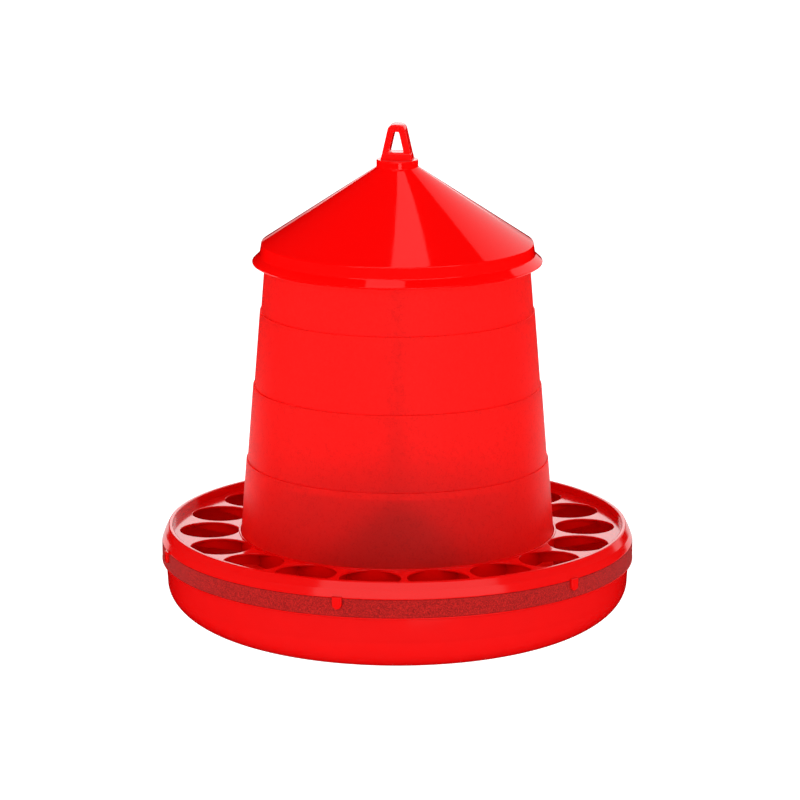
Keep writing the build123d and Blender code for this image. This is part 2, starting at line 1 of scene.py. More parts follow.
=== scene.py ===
"""Looks of a gravity poultry feeder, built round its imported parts.

The row frame is +Z up with the origin on the ground under the pan's centre and the front along
-Y. Sizes in this file are millimetres and are turned into metres when a mesh is made. Each
sub-assembly is a class that builds its own meshes and dresses them with a finish.
"""

import logging
import math
from dataclasses import dataclass
from enum import Enum
from typing import Sequence

import bmesh
import bpy
from bmesh.types import BMesh
from bpy.types import Material, Node, NodeTree, Object
from mathutils import Matrix, Vector


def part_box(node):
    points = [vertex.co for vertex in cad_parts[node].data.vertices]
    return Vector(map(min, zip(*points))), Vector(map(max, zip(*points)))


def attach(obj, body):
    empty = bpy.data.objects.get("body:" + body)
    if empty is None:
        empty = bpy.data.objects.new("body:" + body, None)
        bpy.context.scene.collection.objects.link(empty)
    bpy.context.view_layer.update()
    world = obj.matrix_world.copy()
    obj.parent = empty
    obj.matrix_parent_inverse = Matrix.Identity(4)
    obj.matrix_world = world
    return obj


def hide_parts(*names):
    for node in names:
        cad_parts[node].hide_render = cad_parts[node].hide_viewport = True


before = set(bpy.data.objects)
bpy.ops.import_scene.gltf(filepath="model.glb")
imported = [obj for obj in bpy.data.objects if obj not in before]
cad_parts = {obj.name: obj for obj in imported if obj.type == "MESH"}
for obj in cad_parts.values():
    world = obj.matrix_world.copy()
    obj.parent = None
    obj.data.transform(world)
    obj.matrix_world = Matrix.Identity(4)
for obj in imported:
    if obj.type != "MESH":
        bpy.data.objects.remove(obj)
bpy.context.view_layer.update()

LOG = logging.getLogger("feeder")
MM = 0.001
SEGMENTS = 216            # facets round every turned piece
ARC_STEPS = 4             # facets round a rounded edge
CURVE_STEPS = 28          # facets along the pan's corner
SHARP_ANGLE = math.radians(38.0)
TINY = 1e-6
MERGE = 0.002             # vertices closer than this are one
BARE = 0.01               # rim radius of a block that only cuts
SLACK = 1e-3              # share of an edge by which a ray may pass its end

Point = tuple[float, float]
Colour = tuple[float, float, float]
Values = dict[str | int, object]
Link = tuple[Node, str | int, Node, str | int]


# ---- reading the frame --------------------------------------------------------------
@dataclass(frozen=True)
class Extent:
    """Size of a node about the Z axis, in millimetres.

    Attributes:
        radius: Largest distance from the axis along X.
        low: Lowest height.
        high: Highest height.
    """

    radius: float
    low: float
    high: float


def extent(node: str) -> Extent:
    """Measure a node of the frame.

    Args:
        node: Name of the CAD node.

    Returns:
        Its radius and heights in millimetres.
    """
    low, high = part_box(node)
    return Extent(high.x / MM, low.z / MM, high.z / MM)


# ---- outlines -----------------------------------------------------------------------
@dataclass(frozen=True)
class Corner:
    """Corner of an outline, rounded by a fillet.

    Attributes:
        across: Distance from the axis, or along X.
        up: Height.
        fillet: Radius of the rounding, 0 for a hard corner.
    """

    across: float
    up: float
    fillet: float = 0.0


def rounded_corner(before: Vector, corner: Vector, after: Vector, radius: float) -> list[Vector]:
    """Replace a corner by points on an arc.

    Args:
        before: The outline's previous corner.
        corner: The corner itself.
        after: The outline's next corner.
        radius: Radius of the arc.

    Returns:
        The points of the arc, from the side of before to the side of after.
    """
    back = before - corner
    ahead = after - corner
    opening = back.angle(ahead)
    if radius < TINY or opening > math.pi - 0.02:
        return [corner]
    reach = radius / math.tan(opening / 2)
    reach = min(reach, 0.46 * back.length, 0.46 * ahead.length)
    start = corner + back.normalized() * reach
    end = corner + ahead.normalized() * reach
    true_radius = reach * math.tan(opening / 2)
    middle = (back.normalized() + ahead.normalized()).normalized()
    centre = corner + middle * (true_radius / math.sin(opening / 2))
    sweep = (start - centre).angle_signed(end - centre)
    points = []
    for step in range(ARC_STEPS + 1):
        turn = Matrix.Rotation(-sweep * step / ARC_STEPS, 2)
        points.append(centre + turn @ (start - centre))
    return points


def outline(corners: Sequence[Corner]) -> list[Point]:
    """Round a closed outline and hold its flats with close points.

    Args:
        corners: Corners in order, either way round.

    Returns:
        Points of the outline. Long flats get a point near each end, so that shading stays flat.
    """
    places = [Vector((c.across, c.up)) for c in corners]
    arcs = []
    for index, corner in enumerate(corners):
        after = places[(index + 1) % len(places)]
        arcs.append(rounded_corner(places[index - 1], places[index], after, corner.fillet))
    points = []
    for index, arc in enumerate(arcs):
        points.extend(arc)
        start = arc[-1]
        end = arcs[(index + 1) % len(arcs)][0]
        run = (end - start).length
        hold = 0.5
        if run > 4 * hold:
            step = (end - start) * (hold / run)
            points.extend([start + step, end - step])
    return [(p.x, p.y) for p in points]


def quarter_ellipse(centre: Point, across: float, down: float, steps: int) -> list[Corner]:
    """Corners along the lower outer quarter of an ellipse, from its bottom to its side."""
    corners = []
    for step in range(steps + 1):
        turn = math.pi / 2 * step / steps
        corners.append(Corner(
            centre[0] + across * math.sin(turn), centre[1] - down * math.cos(turn)))
    return corners


# ---- meshes -------------------------------------------------------------------------
def new_object(name: str, data: bpy.types.ID) -> Object:
    """Put data in the scene as an object at the origin."""
    thing = bpy.data.objects.new(name, data)
    bpy.context.scene.collection.objects.link(thing)
    return thing


def mark_sharp(mesh: BMesh) -> None:
    """Shade smoothly across every edge but the sharp ones."""
    for edge in mesh.edges:
        edge.smooth = len(edge.link_faces) == 2 and edge.calc_face_angle(0.0) < SHARP_ANGLE


def finish_mesh(name: str, mesh: BMesh) -> Object:
    """Close a mesh, turn its faces outwards, smooth it and put it in the scene.

    Args:
        name: Name of the piece.
        mesh: The mesh in millimetres. It is freed.

    Returns:
        The new object at the origin, in metres.
    """
    bmesh.ops.remove_doubles(mesh, verts=mesh.verts, dist=MERGE)
    bmesh.ops.scale(mesh, verts=mesh.verts, vec=(MM, MM, MM))
    bmesh.ops.recalc_face_normals(mesh, faces=mesh.faces)
    for face in mesh.faces:
        face.smooth = True
    mark_sharp(mesh)
    data = bpy.data.meshes.new(name)
    mesh.to_mesh(data)
    mesh.free()
    return new_object(name, data)


def add_turned(mesh: BMesh, points: Sequence[Point], segments: int = SEGMENTS) -> None:
    """Add a closed outline turned about Z to a mesh.

    Args:
        mesh: Mesh in millimetres that gets the faces.
        points: Closed outline as (radius, height) points.
        segments: Facets round the axis.
    """
    rings = []
    for radius, height in points:
        if radius < TINY:
            rings.append([mesh.verts.new((0, 0, height))] * segments)
            continue
        ring = []
        for step in range(segments):
            turn = 2 * math.pi * step / segments
            ring.append(mesh.verts.new((radius * math.cos(turn), radius * math.sin(turn), height)))
        rings.append(ring)
    for index, ring in enumerate(rings):
        other = rings[(index + 1) % len(rings)]
        for step in range(segments):
            after = (step + 1) % segments
            quad = []
            for vert in (ring[step], ring[after], other[after], other[step]):
                if vert not in quad:
                    quad.append(vert)
            if len(quad) > 2:
                mesh.faces.new(quad)


def turned_piece(name: str, corners: Sequence[Corner]) -> Object:
    """Turn one rounded outline about Z into a piece."""
    mesh = bmesh.new()
    add_turned(mesh, outline(corners))
    return finish_mesh(name, mesh)


def rim(edge: float) -> list[Point]:
    """Quarter circle of a rounded rim as (inset, drop) points, from its side to its face."""
    turns = [math.pi / 2 * step / ARC_STEPS for step in range(ARC_STEPS + 1)]
    return [(edge * (1 - math.sin(turn)), edge * (1 - math.cos(turn))) for turn in turns]


def add_slab(mesh: BMesh, points: Sequence[Point], depth: float, edge: float) -> None:
    """Add a flat slab with rounded rims, its outline in the XZ plane and centred on Y.

    Args:
        mesh: Mesh in millimetres that gets the faces.
        points: Closed outline as (x, z) points.
        depth: Thickness along Y.
        edge: Radius of the rims.
    """
    centre = sum((Vector(p) for p in points), Vector((0, 0))) / len(points)
    profile = [(inset, depth / 2 - drop) for inset, drop in rim(edge)]
    profile += [(inset, -y) for inset, y in reversed(profile)]
    loops = []
    for inset, y in profile:
        loops.append([mesh.verts.new((x, y, z)) for x, z in shrink(points, inset, centre)])
    count = len(points)
    for first, second in zip(loops, loops[1:]):
        for step in range(count):
            after = (step + 1) % count
            mesh.faces.new((first[step], first[after], second[after], second[step]))
    mesh.faces.new(loops[0])
    mesh.faces.new(list(reversed(loops[-1])))


def slab_piece(name: str, points: Sequence[Point], depth: float, edge: float,
               place: Matrix | None = None) -> Object:
    """Make a piece from one slab.

    Args:
        name: Name of the piece.
        points: Closed outline as (x, z) points.
        depth: Thickness along Y.
        edge: Radius of the rims.
        place: How the slab is turned and moved, in millimetres.

    Returns:
        The new piece.
    """
    mesh = bmesh.new()
    add_slab(mesh, points, depth, edge)
    bmesh.ops.transform(mesh, matrix=place or Matrix(), verts=mesh.verts)
    return finish_mesh(name, mesh)


def shrink(points: Sequence[Point], inset: float, centre: Vector) -> list[Point]:
    """Move every point of a convex outline inwards, square to its two edges.

    Args:
        points: Closed outline.
        inset: How far each edge moves in.
        centre: A point inside, which says where inwards is.

    Returns:
        The smaller outline.
    """
    moved = []
    count = len(points)
    for index in range(count):
        here = Vector(points[index])
        ahead = Vector(points[(index + 1) % count]) - Vector(points[index - 1])
        normal = Vector((ahead.y, -ahead.x)).normalized()
        if normal.dot(centre - here) < 0:
            normal = -normal
        place = here + normal * inset
        moved.append((place.x, place.y))
    return moved


def reach(points: Sequence[Point], centre: Vector, ray: Vector) -> float:
    """Distance from a centre to a convex outline along a ray.

    Args:
        points: Closed outline round the centre.
        centre: Where the ray starts.
        ray: Unit direction.

    Returns:
        The distance, 0 if the ray misses.
    """
    for index in range(len(points)):
        start = Vector(points[index - 1]) - centre
        run = Vector(points[index]) - centre - start
        bottom = ray.x * run.y - ray.y * run.x
        if abs(bottom) < TINY:
            continue
        share = (start.x * ray.y - start.y * ray.x) / bottom
        distance = (start.x * run.y - start.y * run.x) / bottom
        if -SLACK <= share <= 1 + SLACK and distance > 0:
            return distance
    return 0.0


def add_frame(mesh: BMesh, outer: Sequence[Point], inner: Sequence[Point],
              centre: Point, depth: float, edge: float) -> None:
    """Add a flat frame between two convex outlines, all four rims rounded.

    Args:
        mesh: Mesh in millimetres that gets the faces.
        outer: Outer outline as (x, z) points.
        inner: Outline of the window.
        centre: A point inside the window.
        depth: Thickness along Y, centred on the XZ plane.
        edge: Radius of the rims.
    """
    middle = Vector(centre)
    turns = sorted({round(math.atan2(z - middle.y, x - middle.x), 5)
                    for x, z in (*outer, *inner)})
    rings = []
    for turn in turns:
        ray = Vector((math.cos(turn), math.sin(turn)))
        near, far = reach(inner, middle, ray), reach(outer, middle, ray)
        ring = []
        for side, limit, start in ((1, far, 1), (1, far, -1), (-1, near, -1), (-1, near, 1)):
            for inset, drop in rim(edge)[::side * start]:
                place = middle + ray * (limit - side * inset)
                ring.append(mesh.verts.new((place.x, start * (depth / 2 - drop), place.y)))
        rings.append(ring)
    for first, second in zip(rings, rings[1:] + rings[:1]):
        for step in range(len(first)):
            after = (step + 1) % len(first)
            mesh.faces.new((first[step], first[after], second[after], second[step]))


def facing(angle: float) -> Matrix:
    """Turn from +X to an angle measured from the front towards +X, in degrees."""
    return Matrix.Rotation(math.radians(angle - 90.0), 4, "Z")


def plain_copy(source: Object, name: str) -> Object:
    """Bake an object's modifiers into a new plain mesh and remove the object.

    Args:
        source: Object with live modifiers.
        name: Name of the new piece.

    Returns:
        The plain piece.
    """
    graph = bpy.context.evaluated_depsgraph_get()
    data = bpy.data.meshes.new_from_object(source.evaluated_get(graph))
    data.name = name
    bpy.data.objects.remove(source)
    return new_object(name, data)


def cut(piece: Object, cutter: Object) -> Object:
    """Cut one closed mesh out of another.

    Args:
        piece: What is cut. It is replaced.
        cutter: What is taken away. It is removed.

    Returns:
        The cut piece under the same name.
    """
    name = piece.name
    piece.name = name + ".whole"
    modifier = piece.modifiers.new("cut", "BOOLEAN")
    modifier.operation = "DIFFERENCE"
    modifier.solver = "EXACT"
    modifier.object = cutter
    bpy.context.view_layer.update()
    result = plain_copy(piece, name)
    bpy.data.objects.remove(cutter)
    mesh = bmesh.new()
    mesh.from_mesh(result.data)
    bmesh.ops.remove_doubles(mesh, verts=mesh.verts, dist=1e-7)
    mark_sharp(mesh)
    mesh.to_mesh(result.data)
    mesh.free()
    return result


# ---- nodes --------------------------------------------------------------------------
def fill(node: Node, values: Values) -> None:
    """Set the free inputs of a node."""
    for key, value in values.items():
        node.inputs[key].default_value = value


def put(tree: NodeTree, kind: str,
        values: Values | None = None) -> Node:
    """Add a node to a tree.

    Args:
        tree: Tree that gets the node.
        kind: Type of the node.
        values: Values of its free inputs.

    Returns:
        The new node.
    """
    node = tree.nodes.new(kind)
    fill(node, values or {})
    return node


def calculate(tree: NodeTree, operation: str,
              values: Values | None = None) -> Node:
    """Add a Math node that does one operation."""
    node = put(tree, "ShaderNodeMath", values)
    node.operation = operation
    return node


def join(tree: NodeTree, *links: Link) -> None:
    """Link outputs to inputs, each given as source, output, target and input."""
    for source, leave, target, enter in links:
        tree.links.new(source.outputs[leave], target.inputs[enter])


class RadialArray:
    """Geometry Nodes tree that repeats a block evenly round the Z axis."""

    def __init__(self) -> None:
        """Build the tree once."""
        tree = bpy.data.node_groups.new("Radial array", "GeometryNodeTree")
        self.tree = tree
        self.sockets = {}
        for name, kind in (
                ("Block", "NodeSocketGeometry"), ("Count", "NodeSocketInt"),
                ("First Angle", "NodeSocketFloat"), ("Finish", "NodeSocketMaterial")):
            socket = tree.interface.new_socket(name=name, in_out="INPUT", socket_type=kind)
            self.sockets[name] = socket.identifier
        tree.interface.new_socket(name="Ring", in_out="OUTPUT", socket_type="NodeSocketGeometry")
        entry = put(tree, "NodeGroupInput")
        points = put(tree, "GeometryNodePoints")
        index = put(tree, "GeometryNodeInputIndex")
        share = calculate(tree, "DIVIDE", {0: 2 * math.pi})
        angle = calculate(tree, "MULTIPLY_ADD")
        turn = put(tree, "ShaderNodeCombineXYZ")
        copies = put(tree, "GeometryNodeInstanceOnPoints")
        real = put(tree, "GeometryNodeRealizeInstances")
        dress = put(tree, "GeometryNodeSetMaterial")
        leave = put(tree, "NodeGroupOutput")
        join(tree, (entry, "Count", points, "Count"), (entry, "Count", share, 1),
             (index, 0, angle, 0), (share, 0, angle, 1), (entry, "First Angle", angle, 2),
             (angle, 0, turn, "Z"), (points, 0, copies, "Points"),
             (entry, "Block", copies, "Instance"), (turn, 0, copies, "Rotation"),
             (copies, 0, real, 0), (real, 0, dress, "Geometry"),
             (entry, "Finish", dress, "Material"), (dress, 0, leave, 0))

    def repeat(self, block: Object, name: str, count: int, first: float,
               material: Material) -> Object:
        """Repeat a block round the axis.

        Args:
            block: Block that lies along +X. It is removed.
            name: Name of the new piece.
            count: How many copies.
            first: Angle of the first from the front towards +X, in degrees.
            material: Finish of all copies.

        Returns:
            One plain mesh with every copy in it.
        """
        modifier = block.modifiers.new("array", "NODES")
        modifier.node_group = self.tree
        modifier[self.sockets["Count"]] = count
        modifier[self.sockets["First Angle"]] = math.radians(first - 90.0)
        modifier[self.sockets["Finish"]] = material
        bpy.context.view_layer.update()
        return plain_copy(block, name)


# ---- finishes -----------------------------------------------------------------------
CLOUD_SHARE = 0.12        # how far the melt's clouds reach from colour to shade
SCUFF_ROUGHNESS = 0.18    # what a scuff adds to the roughness


class Texture(Enum):
    """How a mould leaves a surface."""

    POLISHED = "polished"
    FROSTED = "frosted"
    SPARKED = "sparked"


def new_group(name: str, inputs: dict[str, float], outputs: Sequence[str]) -> NodeTree:
    """Start a shader node group with float inputs and outputs.

    Args:
        name: Name of the group.
        inputs: Default value of each input.
        outputs: Names of the outputs.

    Returns:
        The group with its entry and exit nodes named Entry and Exit.
    """
    group = bpy.data.node_groups.new(name, "ShaderNodeTree")
    for key, value in inputs.items():
        socket = group.interface.new_socket(name=key, in_out="INPUT", socket_type="NodeSocketFloat")
        socket.default_value = value
    for key in outputs:
        group.interface.new_socket(name=key, in_out="OUTPUT", socket_type="NodeSocketFloat")
    put(group, "NodeGroupInput").name = "Entry"
    put(group, "NodeGroupOutput").name = "Exit"
    return group


class SurfaceGroups:
    """Shader node groups that the finishes share."""

    def __init__(self) -> None:
        """Build every group once."""
        self.grain = self.build_grain()
        self.flow = self.build_flow()
        self.scuffs = self.build_scuffs()
        self.brushing = self.build_brushing()

    def build_grain(self) -> NodeTree:
        """Fine moulded grain: even specks of about the stated density, per metre."""
        group = new_group(
            "Moulded grain", {"Density": 900.0, "Clumping": 0.5}, ("Specks", "Height"))
        entry, leave = group.nodes["Entry"], group.nodes["Exit"]
        place = put(group, "ShaderNodeTexCoord")
        fine = put(group, "ShaderNodeTexNoise", {"Detail": 1.0, "Roughness": 0.7})
        coarse_scale = calculate(group, "MULTIPLY", {1: 0.37})
        coarse = put(group, "ShaderNodeTexNoise", {"Detail": 1.0})
        blend = put(group, "ShaderNodeMix")
        spread = put(group, "ShaderNodeMapRange", {"From Min": 0.34, "From Max": 0.66})
        join(group, (place, "Object", fine, "Vector"), (place, "Object", coarse, "Vector"),
             (entry, "Density", fine, "Scale"), (entry, "Density", coarse_scale, 0),
             (coarse_scale, 0, coarse, "Scale"), (entry, "Clumping", blend, "Factor"),
             (fine, "Fac", blend, 2), (coarse, "Fac", blend, 3), (blend, 0, spread, "Value"),
             (spread, "Result", leave, "Specks"), (blend, 0, leave, "Height"))
        return group

    def build_flow(self) -> NodeTree:
        """Slow cloudy variation that melt flow leaves in a large moulding."""
        group = new_group("Melt flow", {"Size": 9.0, "Height Share": 0.35}, ("Cloud",))
        entry, leave = group.nodes["Entry"], group.nodes["Exit"]
        place = put(group, "ShaderNodeTexCoord")
        mapping = put(group, "ShaderNodeMapping")
        stretch = put(group, "ShaderNodeCombineXYZ", {"X": 1.0, "Y": 1.0})
        noise = put(group, "ShaderNodeTexNoise", {"Detail": 3.0, "Distortion": 0.6})
        join(group, (place, "Object", mapping, "Vector"), (entry, "Height Share", stretch, "Z"),
             (stretch, 0, mapping, "Scale"), (mapping, 0, noise, "Vector"),
             (entry, "Size", noise, "Scale"), (noise, "Fac", leave, "Cloud"))
        return group

    def build_scuffs(self) -> NodeTree:
        """Thin handling marks, few and faint."""
        group = new_group("Handling scuffs", {"Size": 60.0, "Amount": 0.3}, ("Mask",))
        entry, leave = group.nodes["Entry"], group.nodes["Exit"]
        place = put(group, "ShaderNodeTexCoord")
        mapping = put(group, "ShaderNodeMapping", {
            "Rotation": (0.6, 0.3, 0.9), "Scale": (1.0, 7.0, 2.0)})
        noise = put(group, "ShaderNodeTexNoise", {"Detail": 5.0, "Roughness": 0.75})
        keep = put(group, "ShaderNodeMapRange", {"From Min": 0.62, "From Max": 0.74})
        scale = calculate(group, "MULTIPLY")
        join(group, (place, "Object", mapping, "Vector"), (mapping, 0, noise, "Vector"),
             (entry, "Size", noise, "Scale"), (noise, "Fac", keep, "Value"),
             (keep, "Result", scale, 0), (entry, "Amount", scale, 1), (scale, 0, leave, "Mask"))
        return group

    def build_brushing(self) -> NodeTree:
        """Fine turning lines round Z, as drawn and plated steel shows."""
        group = new_group("Turning lines", {"Density": 2400.0}, ("Lines",))
        entry, leave = group.nodes["Entry"], group.nodes["Exit"]
        place = put(group, "ShaderNodeTexCoord")
        mapping = put(group, "ShaderNodeMapping", {"Scale": (0.06, 0.06, 1.0)})
        noise = put(group, "ShaderNodeTexNoise", {"Detail": 2.0})
        join(group, (place, "Object", mapping, "Vector"), (mapping, 0, noise, "Vector"),
             (entry, "Density", noise, "Scale"), (noise, "Fac", leave, "Lines"))
        return group


def place_group(tree: NodeTree, group: NodeTree,
                values: Values | None = None) -> Node:
    """Put a shared group into a material's tree with its own values."""
    node = put(tree, "ShaderNodeGroup")
    node.node_tree = group
    fill(node, values or {})
    return node


def colour_mix(tree: NodeTree, first: Colour, second: Colour) -> Node:
    """Add a mix of two colours whose factor is still free."""
    node = tree.nodes.new("ShaderNodeMix")
    node.data_type = "RGBA"
    fill(node, {6: (*first, 1.0), 7: (*second, 1.0)})
    return node


def new_material(name: str, colour: Colour, values: dict[str, float]) -> Material:
    """Start a material with constants on its Principled BSDF.

    Args:
        name: Name of the material.
        colour: Its colour in a plain viewport.
        values: Constants by input.

    Returns:
        The new material.
    """
    material = bpy.data.materials.new(name)
    material.use_nodes = True
    material.diffuse_color = (*colour, 1.0)
    fill(material.node_tree.nodes["Principled BSDF"], values)
    return material


@dataclass(frozen=True)
class MouldedPlastic:
    """Finish of a moulded plastic piece.

    Attributes:
        name: Name of the material.
        colour: Main colour, linear.
        shade: Colour in the grain's hollows and in the melt's clouds.
        roughness: Mean roughness.
        texture: How the mould leaves the surface.
        density: Specks of grain per metre.
        contrast: How far the specks reach from colour to shade, 0 to 1.
        depth: Height of the grain in metres.
        transmission: Share of light that passes through the wall.
        ior: Index of refraction.
        gloss: Strength of the mirror-like share, 0.5 for a plain plastic.
        painted_glow: Painted light: emission that makes the wall glow though it is no lamp, as a
            share of its colour.
    """

    name: str
    colour: Colour
    shade: Colour
    roughness: float
    texture: Texture
    density: float = 900.0
    contrast: float = 0.2
    depth: float = 0.00002
    transmission: float = 0.0
    ior: float = 1.5
    gloss: float = 0.5
    painted_glow: float = 0.0

    def build(self, groups: SurfaceGroups) -> Material:
        """Make the material from the shared node groups.

        Args:
            groups: Every shared group.

        Returns:
            The new material.
        """
        material = new_material(self.name, self.colour, {
            "IOR": self.ior, "Specular IOR Level": self.gloss,
            "Transmission Weight": self.transmission})
        tree = material.node_tree
        shader = tree.nodes["Principled BSDF"]
        clumping = {Texture.POLISHED: 0.8, Texture.FROSTED: 0.35, Texture.SPARKED: 0.15}
        grain = place_group(tree, groups.grain, {
            "Density": self.density, "Clumping": clumping[self.texture]})
        flow = place_group(tree, groups.flow)
        scuffs = place_group(tree, groups.scuffs)
        specks = calculate(tree, "MULTIPLY", {1: self.contrast})
        tint = calculate(tree, "MULTIPLY_ADD", {1: CLOUD_SHARE})
        colours = colour_mix(tree, self.colour, self.shade)
        rough = put(tree, "ShaderNodeMapRange", {
            "To Min": self.roughness, "To Max": min(1.0, self.roughness + SCUFF_ROUGHNESS)})
        bump = put(tree, "ShaderNodeBump", {"Strength": 1.0, "Distance": self.depth})
        join(tree, (grain, "Specks", specks, 0), (flow, "Cloud", tint, 0), (specks, 0, tint, 2),
             (tint, 0, colours, 0), (colours, 2, shader, "Base Color"),
             (scuffs, "Mask", rough, "Value"), (rough, "Result", shader, "Roughness"),
             (grain, "Height", bump, "Height"), (bump, 0, shader, "Normal"))
        # Painted light: the wall gives out its own colour as emission, so it glows brighter than
        # its lighting makes it.
        if self.painted_glow > 0:
            join(tree, (colours, 2, shader, "Emission Color"))
            shader.inputs["Emission Strength"].default_value = self.painted_glow
        return material


@dataclass(frozen=True)
class PlatedMetal:
    """Finish of a turned or drawn metal piece.

    Attributes:
        name: Name of the material.
        colour: Main colour, linear.
        tarnish: Colour of the duller spots.
        roughness: Mean roughness.
    """

    name: str
    colour: Colour
    tarnish: Colour
    roughness: float

    def build(self, groups: SurfaceGroups) -> Material:
        """Make the material.

        Args:
            groups: The shared node groups.

        Returns:
            The new material.
        """
        material = new_material(self.name, self.colour, {"Metallic": 0.6})
        tree = material.node_tree
        shader = tree.nodes["Principled BSDF"]
        lines = place_group(tree, groups.brushing)
        flow = place_group(tree, groups.flow, {"Size": 160.0, "Height Share": 1.0})
        colours = colour_mix(tree, self.colour, self.tarnish)
        rough = put(tree, "ShaderNodeMapRange", {
            "To Min": self.roughness - 0.08, "To Max": self.roughness + 0.12})
        bump = put(tree, "ShaderNodeBump", {"Distance": 0.00002})
        join(tree, (flow, "Cloud", colours, 0), (colours, 2, shader, "Base Color"),
             (lines, "Lines", rough, "Value"), (rough, "Result", shader, "Roughness"),
             (lines, "Lines", bump, "Height"), (bump, 0, shader, "Normal"))
        return material


BRIGHT_RED = (0.96, 0.0012, 0.001)
# The two reds below are darker copies of the same red plastic: painted shade that keeps the light
# bouncing inside the pan and under the grille low.
SHADE_DARKENED_RED = (0.74, 0.0012, 0.001)
PAN_SHADE_DARKENED_RED = (0.72, 0.001, 0.001)
FINISHES = {
    "lid_plastic": MouldedPlastic(
        "Lid gloss red", BRIGHT_RED, (0.88, 0.001, 0.001), 0.06, Texture.POLISHED, density=120.0,
        contrast=0.05, depth=0.000004),
    "hanger_plastic": MouldedPlastic(
        "Hanger gloss red", BRIGHT_RED, (0.84, 0.001, 0.001), 0.1, Texture.POLISHED, density=200.0,
        contrast=0.08, depth=0.000006),
    "grille_plastic": MouldedPlastic(
        "Grille gloss red", SHADE_DARKENED_RED, (0.68, 0.001, 0.001), 0.12, Texture.POLISHED, density=160.0,
        contrast=0.08, depth=0.000006),
    "pan_plastic": MouldedPlastic(
        "Pan gloss red", PAN_SHADE_DARKENED_RED, (0.5, 0.001, 0.001), 0.15, Texture.POLISHED, density=140.0,
        contrast=0.08, depth=0.000008),
    "band_plastic": MouldedPlastic(
        "Band sparked red", (0.54, 0.01, 0.008), (0.2, 0.002, 0.002), 0.7, Texture.SPARKED,
        density=1000.0, contrast=1.0, depth=0.00015, gloss=0.12),
    # The hopper's emission below is painted light that brightens its frosted wall.
    "hopper_plastic": MouldedPlastic(
        "Hopper frosted red", (0.98, 0.008, 0.004), (0.6, 0.003, 0.002), 0.42, Texture.FROSTED,
        density=650.0, contrast=0.5, depth=0.00008, transmission=0.85, ior=1.25, gloss=0.35,
        painted_glow=0.1),
    # The cone's near-black red is painted shade: it stands for the shadow that falls on the cone
    # inside the hopper.
    "cone_plastic": MouldedPlastic(
        "Cone red darkened as painted shade", (0.05, 0.004, 0.004), (0.03, 0.002, 0.002), 0.6, Texture.FROSTED,
        density=600.0, contrast=0.3, depth=0.00004, gloss=0.2),
    "bridge_plastic": MouldedPlastic(
        "Bridge satin red", (0.8, 0.004, 0.003), (0.6, 0.002, 0.002), 0.35, Texture.FROSTED,
        density=700.0, contrast=0.2, depth=0.00003),
    "steel": PlatedMetal("Plated steel", (0.55, 0.56, 0.58), (0.4, 0.41, 0.43), 0.3),
    "rivet_metal": PlatedMetal("Plain aluminium", (0.66, 0.67, 0.68), (0.5, 0.51, 0.52), 0.38),
}


class Wardrobe:
    """Every finish as a material, with the tools that dress a piece."""

    def __init__(self) -> None:
        """Build the shared groups and the materials."""
        groups = SurfaceGroups()
        self.materials = {slot: finish.build(groups) for slot, finish in FINISHES.items()}
        self.array = RadialArray()

    def dress(self, piece: Object, slot: str, body: str, *nodes: str) -> None:
        """Give a new piece its finish, its body and the CAD nodes that it stands for.

        Args:
            piece: The finished piece at the origin.
            slot: Material slot of the record.
            body: Body that the piece moves with.
            nodes: CAD nodes that it replaces.
        """
        piece.data.materials.clear()
        piece.data.materials.append(self.materials[slot])
        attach(piece, body)
        if nodes:
            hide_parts(*nodes)
        LOG.info("%s: %d faces, %s on %s", piece.name, len(piece.data.polygons), slot, body)

    def dress_row(self, block: Object, name: str, row: tuple[int, float], slot: str,
                  body: str) -> None:
        """Repeat a block round the axis and dress the row as one piece.

        Args:
            block: Block that lies along +X. It is removed.
            name: Name of the row's piece.
            row: How many copies, and the first one's angle.
            slot: Material slot of the record.
            body: Body that the row moves with.
        """
        self.dress(self.array.repeat(block, name, *row, self.materials[slot]), slot, body)

    def dress_node(self, node: str, slot: str) -> None:
        """Give a CAD node its finish.

        Args:
            node: Name of the node, whose shape stays.
            slot: Material slot of the record.
        """
        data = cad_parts[node].data
        data.materials.clear()
        data.materials.append(self.materials[slot])
        LOG.info("%s: kept, %s", node, slot)


